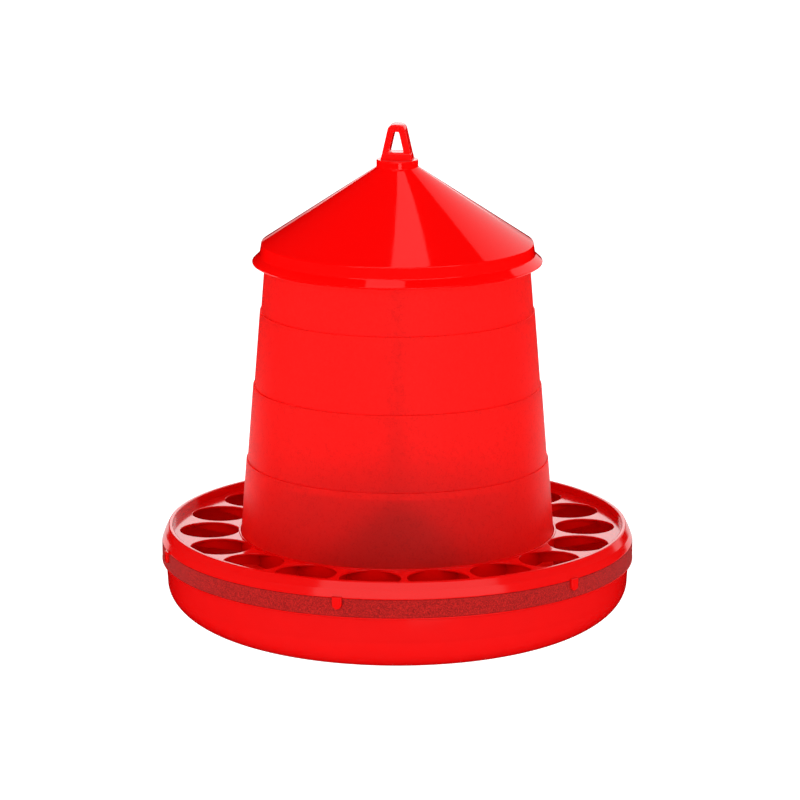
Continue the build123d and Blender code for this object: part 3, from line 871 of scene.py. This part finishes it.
# ---- sub-assemblies -----------------------------------------------------------------
@dataclass
class Pan:
    """Round feed pan with a rounded corner, a foot ring and a flange under the band."""

    size: Extent
    wall: float = 2.2
    corner_run: float = 59.0
    corner_rise: float = 36.0
    corner_radius: float = 205.4
    shoulder_radius: float = 206.6
    shoulder_height: float = 55.2
    rim_radius: float = 207.2
    flange_height: float = 56.8
    underside: float = 2.5
    foot_flat: float = 3.5
    boss_radius: float = 19.0
    boss_height: float = 12.0
    bore: float = 4.2

    def corners(self) -> list[Corner]:
        """Outline of the pan's half section."""
        foot = self.corner_radius - self.corner_run
        floor = self.underside + self.wall
        recess = self.boss_height - self.wall
        centre = (foot, self.corner_rise)
        outer, inner = (
            quarter_ellipse(centre, self.corner_run - inset, self.corner_rise - inset, CURVE_STEPS)
            for inset in (0.0, self.wall))
        flange = self.size.radius
        rim_inner = self.rim_radius - self.wall
        return [
            Corner(self.bore, recess), Corner(self.boss_radius - self.wall, recess, 1.0),
            Corner(self.boss_radius, self.underside, 1.0),
            Corner(foot - self.foot_flat - 2.5, self.underside, 1.0),
            Corner(foot - self.foot_flat, 0.0, 0.6), *outer,
            Corner(self.shoulder_radius, self.shoulder_height, 0.8),
            Corner(flange, self.shoulder_height + 0.4, 0.5),
            Corner(flange, self.flange_height, 0.3), Corner(self.rim_radius, self.flange_height),
            Corner(self.rim_radius, self.size.high, 0.5), Corner(rim_inner, self.size.high, 0.5),
            Corner(rim_inner, self.flange_height + 1.1, 1.0),
            *reversed(inner), Corner(foot - self.foot_flat, floor, 1.5),
            Corner(self.boss_radius + self.wall, floor, 1.5),
            Corner(self.boss_radius, self.boss_height, 0.8),
            Corner(self.bore, self.boss_height, 0.3)]

    def build(self, wardrobe: Wardrobe) -> None:
        """Make the pan."""
        wardrobe.dress(turned_piece("pan_moulding", self.corners()), "pan_plastic", "stand", "pan")


@dataclass
class Tongues:
    """U-shaped tongues of the grille, and the notches that they hang in."""

    count: int = 6
    first: float = 54.0
    width: float = 8.5
    foot: float = 63.3
    inner: float = 208.4
    outer: float = 212.2
    head: float = 74.0
    edge: float = 0.9
    gap: float = 0.35

    def block(self, name: str, grow: float, head: float, outer: float) -> Object:
        """One block along +X.

        Args:
            name: Name of the object.
            grow: How much larger than the tongue it is on every side.
            head: Height of its flat top.
            outer: Radius of its outer face.

        Returns:
            The block, with a rounded foot and rounded rims.
        """
        half = self.width / 2 + grow
        foot = self.foot - grow
        inner = self.inner - grow
        points = [(half, head), (half, foot + half)]
        steps = 12
        for step in range(1, steps):
            turn = math.pi * step / steps
            points.append((half * math.cos(turn), foot + half - half * math.sin(turn)))
        points += [(-half, foot + half), (-half, head)]
        turn = Matrix.Rotation(math.pi / 2, 4, "Z")
        place = Matrix.Translation(((inner + outer) / 2, 0, 0)) @ turn
        return slab_piece(name, points, outer - inner, self.edge if grow == 0 else BARE, place)


@dataclass
class RimBand:
    """Grained band round the pan's rim, notched for the tongues."""

    size: Extent
    thickness: float = 2.75

    def build(self, wardrobe: Wardrobe, tongues: Tongues) -> None:
        """Make the band and cut its notches."""
        outer = self.size.radius
        inner = outer - self.thickness
        edge = 0.5
        band = turned_piece("rim_band_moulding", [
            Corner(inner, self.size.low), Corner(outer, self.size.low, edge),
            Corner(outer, self.size.high, edge), Corner(inner, self.size.high)])
        cutter = wardrobe.array.repeat(
            tongues.block("notch", tongues.gap, self.size.high + 2.0, outer + 2.0), "notches",
            tongues.count, tongues.first, wardrobe.materials["band_plastic"])
        band = cut(band, cutter)
        wardrobe.dress(band, "band_plastic", "stand", "rim_band")


@dataclass
class GrilleRing:
    """Anti-waste grille: perforated plate, collar, lip, rounded wall, fins and tongues."""

    size: Extent
    plate_top: float = 79.5
    plate_thickness: float = 1.8
    collar_inner: float = 139.9
    collar_outer: float = 141.7
    collar_top: float = 80.3
    collar_foot: float = 64.5
    lip_inner: float = 200.3
    lip_outer: float = 203.8
    lip_top: float = 86.6
    lip_foot: float = 74.2
    wall: float = 1.8
    wall_foot: float = 72.6
    bend: float = 79.9
    hole_count: int = 18
    hole_radius: float = 26.5
    hole_pitch: float = 167.5
    hole_edge: float = 0.45
    hole_ledge: float = 1.6
    fin_thickness: float = 1.8
    fin_inner_foot: float = 66.2
    fin_outer_foot: float = 76.6

    def plate_boundary(self, turn: float, inner: float, outer: float) -> tuple[Point, bool]:
        """Where a ray from a hole's centre leaves the plate's sector.

        Args:
            turn: Direction of the ray from the radial line.
            inner: Inner radius of the plate.
            outer: Outer radius of the plate.

        Returns:
            The point and whether it lies on the inner or outer arc.
        """
        half = math.pi / self.hole_count
        across, along = math.cos(turn), math.sin(turn)
        slope = math.tan(half)
        reaches = []
        for side in (1, -1):
            rate = side * along - across * slope
            if rate > TINY:
                reaches.append((self.hole_pitch * slope / rate, False))
        middle = self.hole_pitch * across
        outer_root = middle ** 2 - self.hole_pitch ** 2 + outer ** 2
        reaches.append((-middle + math.sqrt(outer_root), True))
        inner_root = middle ** 2 - self.hole_pitch ** 2 + inner ** 2
        if inner_root > 0 and -middle - math.sqrt(inner_root) > 0:
            reaches.append((-middle - math.sqrt(inner_root), True))
        reach, on_arc = min(reaches)
        return (self.hole_pitch + reach * across, reach * along), on_arc

    def ray_turns(self, inner: float, outer: float) -> list[float]:
        """Directions of the rays from a hole's centre, with the sector's corners among them."""
        count = 72
        turns = [2 * math.pi * step / count for step in range(count)]
        half = math.pi / self.hole_count
        for radius in (inner, outer):
            for side in (1, -1):
                corner = math.atan2(
                    side * radius * math.sin(half), radius * math.cos(half) - self.hole_pitch)
                corner %= 2 * math.pi
                nearest = min(range(count), key=lambda i: abs(turns[i] - corner))
                turns[nearest] = corner
        return turns

    def add_plate(self, mesh: BMesh) -> None:
        """Add the plate with its round holes, whose edges are rounded."""
        inner = self.collar_outer - 1.5
        outer = self.lip_inner + 0.5
        top = self.plate_top
        bottom = top - self.plate_thickness
        profile = [(self.hole_radius + self.hole_ledge, top)]
        profile += [(self.hole_radius + inset, top - drop) for inset, drop in rim(self.hole_edge)]
        profile += [(radius, top + bottom - height) for radius, height in reversed(profile)]
        turns = self.ray_turns(inner, outer)
        for hole in range(self.hole_count):
            place = facing(hole * 360.0 / self.hole_count)
            strips = []
            for turn in turns:
                border, on_arc = self.plate_boundary(turn, inner, outer)
                reach = math.hypot(border[0] - self.hole_pitch, border[1])
                path = [(*border, top)]
                for radius, height in profile:
                    radius = min(radius, reach - 0.02)
                    path.append((
                        self.hole_pitch + radius * math.cos(turn), radius * math.sin(turn), height))
                path.append((*border, bottom))
                verts = [mesh.verts.new(place @ Vector(point)) for point in path]
                strips.append((verts, on_arc))
            for index, (verts, on_arc) in enumerate(strips):
                following, following_on_arc = strips[(index + 1) % len(strips)]
                for step in range(len(verts) - 1):
                    mesh.faces.new((
                        verts[step], verts[step + 1], following[step + 1], following[step]))
                if on_arc and following_on_arc:
                    mesh.faces.new((verts[-1], verts[0], following[0], following[-1]))

    def rim_corners(self) -> list[Corner]:
        """Outline of the lip and the rounded outer wall."""
        outer = self.size.radius
        inner = outer - self.wall
        under_lip = self.lip_top - self.wall
        return [
            Corner(self.lip_inner, self.lip_foot), Corner(self.lip_inner, self.lip_top, 1.1),
            Corner(self.lip_outer, self.lip_top, 1.2), Corner(outer - 2.7, self.bend, 8.0),
            Corner(outer, self.wall_foot, 0.5), Corner(inner, self.wall_foot),
            Corner(inner - 2.5, self.bend - 0.6, 6.0),
            Corner(self.lip_outer - 0.9, under_lip, 1.0),
            Corner(self.lip_inner + self.wall, under_lip, 0.5),
            Corner(self.lip_inner + self.wall, self.lip_foot)]

    def collar_corners(self) -> list[Corner]:
        """Outline of the collar that guides the hopper."""
        edge = 0.4
        return [
            Corner(self.collar_inner, self.collar_foot, edge),
            Corner(self.collar_outer, self.collar_foot, edge),
            Corner(self.collar_outer, self.collar_top, edge),
            Corner(self.collar_inner, self.collar_top, edge)]

    def fin(self) -> Object:
        """One fin along +X, deepest at the collar."""
        root = 0.4
        inner = self.collar_outer - root
        outer = self.lip_inner + root
        top = self.plate_top - root
        return slab_piece("fin", outline([
            Corner(inner, top), Corner(inner, self.fin_inner_foot, 0.8),
            Corner(outer, self.fin_outer_foot, 0.8), Corner(outer, top)]), self.fin_thickness, 0.35)

    def build(self, wardrobe: Wardrobe, tongues: Tongues) -> None:
        """Make the ring, its fins and its tongues."""
        mesh = bmesh.new()
        self.add_plate(mesh)
        add_turned(mesh, outline(self.rim_corners()))
        add_turned(mesh, outline(self.collar_corners()))
        ring = finish_mesh("grille_ring_moulding", mesh)
        wardrobe.dress(ring, "grille_plastic", "grille", "grille_ring")
        fins = (self.hole_count, 180.0 / self.hole_count)
        wardrobe.dress_row(self.fin(), "grille_fins", fins, "grille_plastic", "grille")
        block = tongues.block("tongue", 0.0, tongues.head, tongues.outer)
        wardrobe.dress_row(block, "grille_tongues", (tongues.count, tongues.first),
                           "grille_plastic", "grille")


@dataclass
class FeedCone:
    """Cone on the pan's floor that turns the feed outwards."""

    size: Extent
    tip_radius: float = 13.0
    foot_radius: float = 112.0
    wall: float = 2.0
    post_radius: float = 9.0
    post_foot: float = 12.0
    bore: float = 4.2

    def build(self, wardrobe: Wardrobe) -> None:
        """Make the cone with its post."""
        low, high, flange = self.size.low, self.size.high, self.size.radius
        slope = (high - low - self.wall) / (self.foot_radius - self.tip_radius)
        shift = self.wall * math.hypot(1, slope) / slope
        inner_foot = self.foot_radius + self.wall / slope - shift
        inner_tip = inner_foot - (high - self.wall - low) / slope
        cone = turned_piece("feed_cone_moulding", [
            Corner(self.bore, high), Corner(self.tip_radius, high, 1.2),
            Corner(self.foot_radius, low + self.wall, 4.0), Corner(flange, low + self.wall, 0.6),
            Corner(flange, low, 0.3), Corner(inner_foot, low, 1.0),
            Corner(inner_tip, high - self.wall, 0.8),
            Corner(self.post_radius, high - self.wall, 0.6),
            Corner(self.post_radius, self.post_foot), Corner(self.bore, self.post_foot)])
        wardrobe.dress(cone, "cone_plastic", "stand", "feed_cone")


@dataclass
class Hopper:
    """Four nested tapering sections of the hopper, with the bridge in its mouth."""

    wall: float = 1.2
    flare: float = 0.08
    step: float = 1.1
    gap: float = 0.03
    nest: float = 6.0
    rim_bead: float = 1.4
    rim_bead_height: float = 1.6
    foot_bead: float = 0.8
    foot_bead_height: float = 2.0
    knee: float = 80.9
    edge: float = 0.5

    def section_corners(self, size: Extent, with_bead: bool) -> list[Corner]:
        """Outline of a section whose foot is nested in the next one.

        Args:
            size: Extent of the CAD node. Its radius is that of the nested foot.
            with_bead: Whether the section has the hopper's rim bead.

        Returns:
            The corners of the half section.
        """
        wall, edge = self.wall, self.edge
        seam = size.low + self.nest
        nested = size.radius
        corner = nested - self.flare * self.nest
        lower = corner + wall + self.gap - self.step
        upper = lower - self.flare * (size.high - seam)
        top = [Corner(upper - wall, size.high, edge)]
        if with_bead:
            bead = upper + self.rim_bead
            bead_foot = size.high - self.rim_bead_height
            top += [Corner(bead, size.high, 0.6), Corner(bead, bead_foot, 0.5),
                    Corner(upper + self.flare * self.rim_bead_height, bead_foot, 0.2)]
        else:
            top += [Corner(upper, size.high, edge)]
        return [
            *top, Corner(lower, seam, 0.1), Corner(corner, seam), Corner(nested, size.low, edge),
            Corner(nested - wall, size.low, edge), Corner(lower - wall, seam, 0.1)]

    def bottom_corners(self, size: Extent) -> list[Corner]:
        """Outline of the lowest section, which is straight below the collar's top."""
        foot, wall = size.radius, self.wall
        upper = foot - self.flare * (size.high - self.knee)
        bead = foot - wall - self.foot_bead
        bead_top = size.low + self.foot_bead_height
        return [
            Corner(upper - wall, size.high, self.edge), Corner(upper, size.high, self.edge),
            Corner(foot, self.knee, 1.0), Corner(foot, size.low, 0.5), Corner(bead, size.low, 0.5),
            Corner(bead, bead_top, 0.5), Corner(foot - wall, bead_top + self.foot_bead, 0.5),
            Corner(foot - wall, self.knee, 1.0)]

    def build(self, wardrobe: Wardrobe) -> None:
        """Make the sections and dress the bridge and its rivets."""
        for node in ("hopper_top_section", "hopper_upper_section", "hopper_lower_section"):
            corners = self.section_corners(extent(node), node == "hopper_top_section")
            piece = turned_piece(node + "_wall", corners)
            wardrobe.dress(piece, "hopper_plastic", "hopper", node)
        bottom = turned_piece(
            "hopper_bottom_section_wall", self.bottom_corners(extent("hopper_bottom_section")))
        wardrobe.dress(bottom, "hopper_plastic", "hopper", "hopper_bottom_section")
        wardrobe.dress_node("hopper_bridge", "bridge_plastic")
        wardrobe.dress_node("bridge_rivets", "rivet_metal")


@dataclass
class Lid:
    """Conical lid with a round collar, a short skirt, a flared brim and gussets inside."""

    size: Extent
    wall: float = 1.8
    shoulder_radius: float = 119.7
    shoulder_height: float = 339.7
    throat_radius: float = 121.4
    throat_height: float = 329.4
    brim_edge: float = 1.2
    collar_radius: float = 18.35
    cone_top: float = 406.7
    collar_wall: float = 2.0
    cap: float = 2.4
    slot_half_width: float = 14.3
    slot_half_depth: float = 9.1
    slot_reach: float = 12.0
    gusset_count: int = 8
    gusset_inner: float = 100.0
    gusset_run: float = 10.0
    gusset_thickness: float = 2.0
    gusset_rest: float = 337.6

    def slope(self) -> float:
        """Fall of the cone for each millimetre outwards."""
        return (self.cone_top - self.shoulder_height) / (self.shoulder_radius - self.collar_radius)

    def drop(self) -> float:
        """Height of the cone's wall, measured straight down."""
        return self.wall * math.hypot(1, self.slope())

    def corners(self) -> list[Corner]:
        """Outline of the lid's half section."""
        brim, low, high = self.size.radius, self.size.low, self.size.high
        slope, wall = self.slope(), self.wall
        under = self.cone_top - self.drop()
        inner = self.collar_radius - self.collar_wall
        skirt = self.shoulder_radius - wall
        return [
            Corner(0, high), Corner(self.collar_radius, high, 0.8),
            Corner(self.collar_radius, self.cone_top, 0.5),
            Corner(self.shoulder_radius, self.shoulder_height, 0.9),
            Corner(self.throat_radius, self.throat_height, 1.2),
            Corner(brim, low + self.brim_edge, 0.4), Corner(brim - 0.3, low, 0.4),
            Corner(brim - wall - 0.3, low, 0.4),
            Corner(self.throat_radius - wall, self.throat_height - wall / 2, 1.0),
            Corner(skirt, under - slope * (skirt - self.collar_radius), 1.0),
            Corner(inner, under + slope * (self.collar_radius - inner), 0.5),
            Corner(inner, high - self.cap, 0.5), Corner(0, high - self.cap)]

    def slot(self) -> Object:
        """Body of the slot in the collar's cap, with rounded corners."""
        half_width, half_depth = self.slot_half_width, self.slot_half_depth
        points = outline([
            Corner(-half_width, -half_depth, 1.2), Corner(half_width, -half_depth, 1.2),
            Corner(half_width, half_depth, 1.2), Corner(-half_width, half_depth, 1.2)])
        turn = Matrix.Rotation(math.pi / 2, 4, "X")
        place = Matrix.Translation((0, 0, self.size.high)) @ turn
        return slab_piece("slot", points, self.slot_reach, BARE, place)

    def gusset(self) -> Object:
        """One gusset along +X, rooted in the cone."""
        inner = self.gusset_inner
        outer = self.shoulder_radius - self.wall / 2
        under = self.cone_top - self.drop() / 2 + self.slope() * self.collar_radius
        inner_root = under - self.slope() * inner
        return slab_piece("gusset", [
            (inner, inner_root), (outer, under - self.slope() * outer), (outer, self.gusset_rest),
            (inner + self.gusset_run, self.gusset_rest), (inner, inner_root - 2.0)],
            self.gusset_thickness, 0.3)

    def build(self, wardrobe: Wardrobe) -> None:
        """Make the lid, cut its slot and add the gussets."""
        shell = cut(turned_piece("lid_moulding", self.corners()), self.slot())
        wardrobe.dress(shell, "lid_plastic", "lid", "lid")
        gussets = (self.gusset_count, 180.0 / self.gusset_count)
        wardrobe.dress_row(self.gusset(), "lid_gussets", gussets, "lid_plastic", "lid")


@dataclass
class Hanger:
    """Flat A-shaped loop on a block that stands in the lid's collar."""

    size: Extent
    collar_top: float
    floor: float = 420.0
    sill: float = 0.6
    lean: float = 0.23
    leg: float = 5.9
    crown: float = 6.3
    depth: float = 17.4
    loop_depth: float = 16.2
    rod_radius: float = 4.0
    rod_head: float = 411.0

    def half_width(self, height: float) -> float:
        """Half width of the outline at a height."""
        return self.size.radius - self.lean * max(0.0, height - self.collar_top)

    def loop(self) -> Object:
        """The loop with its window, from the block's top up."""
        foot = self.floor - 5.0
        root = self.half_width(foot) - 1.0
        hip = self.half_width(self.floor)
        top = self.size.high
        outer = [
            Corner(-root, foot), Corner(-hip, self.floor, 0.5),
            Corner(-self.half_width(top), top, 5.2), Corner(self.half_width(top), top, 5.2),
            Corner(hip, self.floor, 0.5), Corner(root, foot)]
        crown = top - self.crown
        low_half = self.half_width(self.floor) - self.leg
        high_half = self.half_width(crown) - self.leg
        window = [
            Corner(-low_half, self.floor, 0.9), Corner(-high_half, crown, 1.4),
            Corner(high_half, crown, 1.4), Corner(low_half, self.floor, 0.9)]
        mesh = bmesh.new()
        middle = (0.0, (self.floor + crown) / 2)
        add_frame(mesh, outline(outer), outline(window), middle, self.loop_depth, 0.9)
        return finish_mesh("hanger_loop", mesh)

    def block(self) -> Object:
        """The block under the loop, bored for the rod."""
        top = self.floor - self.sill
        waist = self.half_width(top)
        wide = self.size.radius
        block = slab_piece("hanger_block", outline([
            Corner(-wide, self.size.low, 1.1), Corner(-wide, self.collar_top, 3.0),
            Corner(-waist, top, 1.1), Corner(waist, top, 1.1),
            Corner(wide, self.collar_top, 3.0), Corner(wide, self.size.low, 1.1)]),
            self.depth, 0.8)
        mesh = bmesh.new()
        low = self.size.low - 2.0
        rod = ((0, low), (self.rod_radius, low), (self.rod_radius, self.rod_head),
               (0, self.rod_head))
        add_turned(mesh, rod, 48)
        return cut(block, finish_mesh("rod_bore", mesh))

    def build(self, wardrobe: Wardrobe) -> None:
        """Make the loop and its block and dress the cross pin."""
        wardrobe.dress(self.loop(), "hanger_plastic", "stand", "hanger")
        wardrobe.dress(self.block(), "hanger_plastic", "stand")
        wardrobe.dress_node("hanger_cross_pin", "steel")


class Hardware:
    """Steel pieces that keep the shape of their CAD nodes."""

    NODES = ("central_rod", "lower_washer", "lower_nut", "cone_washer", "cone_nut",
             "height_pin", "height_pin_ring")

    def build(self, wardrobe: Wardrobe) -> None:
        """Dress every steel node."""
        for node in self.NODES:
            wardrobe.dress_node(node, "steel")


# ---- studio -------------------------------------------------------------------------
# Light cards as seen from the camera (right, away, up) in metres: name, corners, brightness,
# and the share of it that is left at the top.
CARDS = (
    ("horizon_card", ((-0.9, 4.0, 0.72), (0.95, 4.0, 0.72), (0.95, 4.0, 2.0), (-0.9, 4.0, 2.0)),
     1.9, 0.9),
    ("skyline_card", ((-0.9, 4.0, 0.27), (0.95, 4.0, 0.27), (0.95, 4.0, 0.72), (-0.9, 4.0, 0.72)),
     0.5, 1.0),
    ("right_card", ((0.95, 4.0, 0.27), (3.6, 3.1, 0.27), (3.6, 3.1, 5.65), (0.95, 4.0, 5.65)),
     0.76, 0.42),
    ("top_card", ((-1.85, -1.6, 4.0), (-0.18, -1.6, 4.0), (1.02, 1.6, 4.0), (0.563, 1.6, 4.0)),
     0.62, 1.0),
    ("front_card", ((-2.6, -3.0, 1.0), (4.0, -3.0, 1.0), (4.0, -3.0, 3.4), (-2.6, -3.0, 3.4)),
     0.85, 1.0),
    ("stripe_card", ((0.3, -3.0, -0.45), (1.25, -3.0, -0.45), (1.25, -3.0, 0.3), (0.3, -3.0, 0.3)),
     1.6, 1.0),
    ("low_card", ((0.02, -0.32, -0.001), (0.3, -0.32, -0.001), (0.9, -1.2, -0.001),
                  (0.1, -1.2, -0.001)), 0.25, 1.0),
    ("floor_card", ((-0.8, 0.24, -0.001), (0.8, 0.24, -0.001), (0.8, 0.9, -0.001),
                    (-0.8, 0.9, -0.001)), 0.8, 1.0),
)


@dataclass
class Studio:
    """Pale floor, soft light cards and the camera."""

    azimuth: float = 8.0
    elevation: float = 13.0
    distance: float = 3.351
    aim_height: float = 0.197
    lens: float = 169.95
    shift: float = 0.0033
    surround: float = 1.7
    overhead: float = 0.6
    floor_light: float = 1.4

    def emission(self, name: str, strength: float, fade: float = 1.0,
                 heights: Point = (0.0, 1.0)) -> Material:
        """White light that may fade with height.

        Args:
            name: Name of the material.
            strength: Brightness at the bottom.
            fade: Share of it that is left at the top.
            heights: Lowest and highest point, in metres.

        Returns:
            The new material.
        """
        material = bpy.data.materials.new(name)
        material.use_nodes = True
        tree = material.node_tree
        tree.nodes.remove(tree.nodes["Principled BSDF"])
        light = put(tree, "ShaderNodeEmission", {"Strength": strength})
        if fade < 1.0:
            place = put(tree, "ShaderNodeTexCoord")
            split = put(tree, "ShaderNodeSeparateXYZ")
            level = put(tree, "ShaderNodeMapRange", {
                "From Min": heights[0], "From Max": heights[1],
                "To Min": strength, "To Max": strength * fade})
            join(tree, (place, "Object", split, 0), (split, "Z", level, "Value"),
                 (level, 0, light, "Strength"))
        join(tree, (light, 0, tree.nodes["Material Output"], "Surface"))
        return material

    def toward(self, across: float, away: float, up: float) -> Vector:
        """Turn a direction given as seen from the camera into the row frame."""
        turn = Matrix.Rotation(math.radians(self.azimuth), 3, "Z")
        return turn @ Vector((across, away, up))

    def card(self, name: str, corners: Sequence[Vector], strength: float, fade: float) -> None:
        """A light card that only reflections see.

        Args:
            name: Name of the card.
            corners: Its four corners in order, in metres, as seen from the camera.
            strength: Brightness at the bottom.
            fade: Share of it that is left at the top.
        """
        data = bpy.data.meshes.new(name)
        data.from_pydata([self.toward(*c) for c in corners], [], [(0, 1, 2, 3)])
        heights = [corner.z for corner in corners]
        data.materials.append(self.emission(name, strength, fade, (min(heights), max(heights))))
        card = new_object(name, data)
        card.visible_camera = False
        card.visible_diffuse = False
        card.visible_transmission = False
        card.visible_shadow = False

    def world(self) -> None:
        """White surround for the camera and for soft light, dark for reflections."""
        world = bpy.data.worlds.new("Studio")
        bpy.context.scene.world = world
        world.use_nodes = True
        world.cycles.sampling_method = "NONE"
        tree = world.node_tree
        surround = tree.nodes["Background"]
        surround.inputs["Color"].default_value = (1, 1, 1, 1)
        place = put(tree, "ShaderNodeTexCoord")
        split = put(tree, "ShaderNodeSeparateXYZ")
        sky = put(tree, "ShaderNodeMapRange", {
            "From Min": 0.35, "From Max": 0.85, "To Min": self.surround, "To Max": self.overhead})
        sky.interpolation_type = "SMOOTHSTEP"
        path = put(tree, "ShaderNodeLightPath")
        mirrored = calculate(tree, "SUBTRACT")
        mirrored.use_clamp = True
        level = put(tree, "ShaderNodeMapRange", {"To Max": 0.0})
        join(tree, (place, "Generated", split, 0), (split, "Z", sky, "Value"),
             (sky, "Result", level, "To Min"), (path, "Is Glossy Ray", mirrored, 0),
             (path, "Is Transmission Ray", mirrored, 1), (mirrored, 0, level, "Value"),
             (level, 0, surround, "Strength"))

    def floor(self) -> None:
        """Plain pale floor, lit from its upper side only and left out of reflections."""
        half, drop = 6.0, -0.0005
        data = bpy.data.meshes.new("floor")
        corners = ((-half, -half), (half, -half), (half, half), (-half, half))
        data.from_pydata([(x, y, drop) for x, y in corners], [], [(0, 1, 2, 3)])
        light = self.emission("Pale floor", self.floor_light)
        tree = light.node_tree
        clear = put(tree, "ShaderNodeBsdfTransparent")
        side = put(tree, "ShaderNodeNewGeometry")
        blend = put(tree, "ShaderNodeMixShader")
        join(tree, (side, "Backfacing", blend, 0), (tree.nodes["Emission"], 0, blend, 1),
             (clear, 0, blend, 2), (blend, 0, tree.nodes["Material Output"], "Surface"))
        data.materials.append(light)
        floor = new_object("floor", data)
        floor.visible_glossy = False

    def camera(self) -> None:
        """Camera at the object's usual viewing angle."""
        data = bpy.data.cameras.new("camera")
        data.lens = self.lens
        data.shift_x = self.shift
        data.clip_end = 50.0
        camera = new_object("camera", data)
        rise = math.radians(self.elevation)
        back = self.toward(0.0, -math.cos(rise), math.sin(rise))
        camera.location = Vector((0, 0, self.aim_height)) + back * self.distance
        camera.rotation_mode = "QUATERNION"
        camera.rotation_quaternion = (-back).to_track_quat("-Z", "Y")
        bpy.context.scene.camera = camera

    def build(self) -> None:
        """Set up the world, the floor, the cards and the camera."""
        bpy.context.scene.view_settings.view_transform = "Standard"
        self.world()
        self.floor()
        for name, corners, strength, fade in CARDS:
            self.card(name, [Vector(corner) for corner in corners], strength, fade)
        self.camera()


def main() -> None:
    """Build every sub-assembly in order, then the studio."""
    logging.basicConfig(level=logging.INFO, format="%(message)s")
    wardrobe = Wardrobe()
    tongues = Tongues()
    lid_size = extent("lid")
    Pan(extent("pan")).build(wardrobe)
    RimBand(extent("rim_band")).build(wardrobe, tongues)
    GrilleRing(extent("rim_band")).build(wardrobe, tongues)
    FeedCone(extent("feed_cone")).build(wardrobe)
    Hopper().build(wardrobe)
    Lid(lid_size).build(wardrobe)
    Hanger(extent("hanger"), lid_size.high).build(wardrobe)
    Hardware().build(wardrobe)
    Studio().build()


if __name__ == "__main__":
    main()
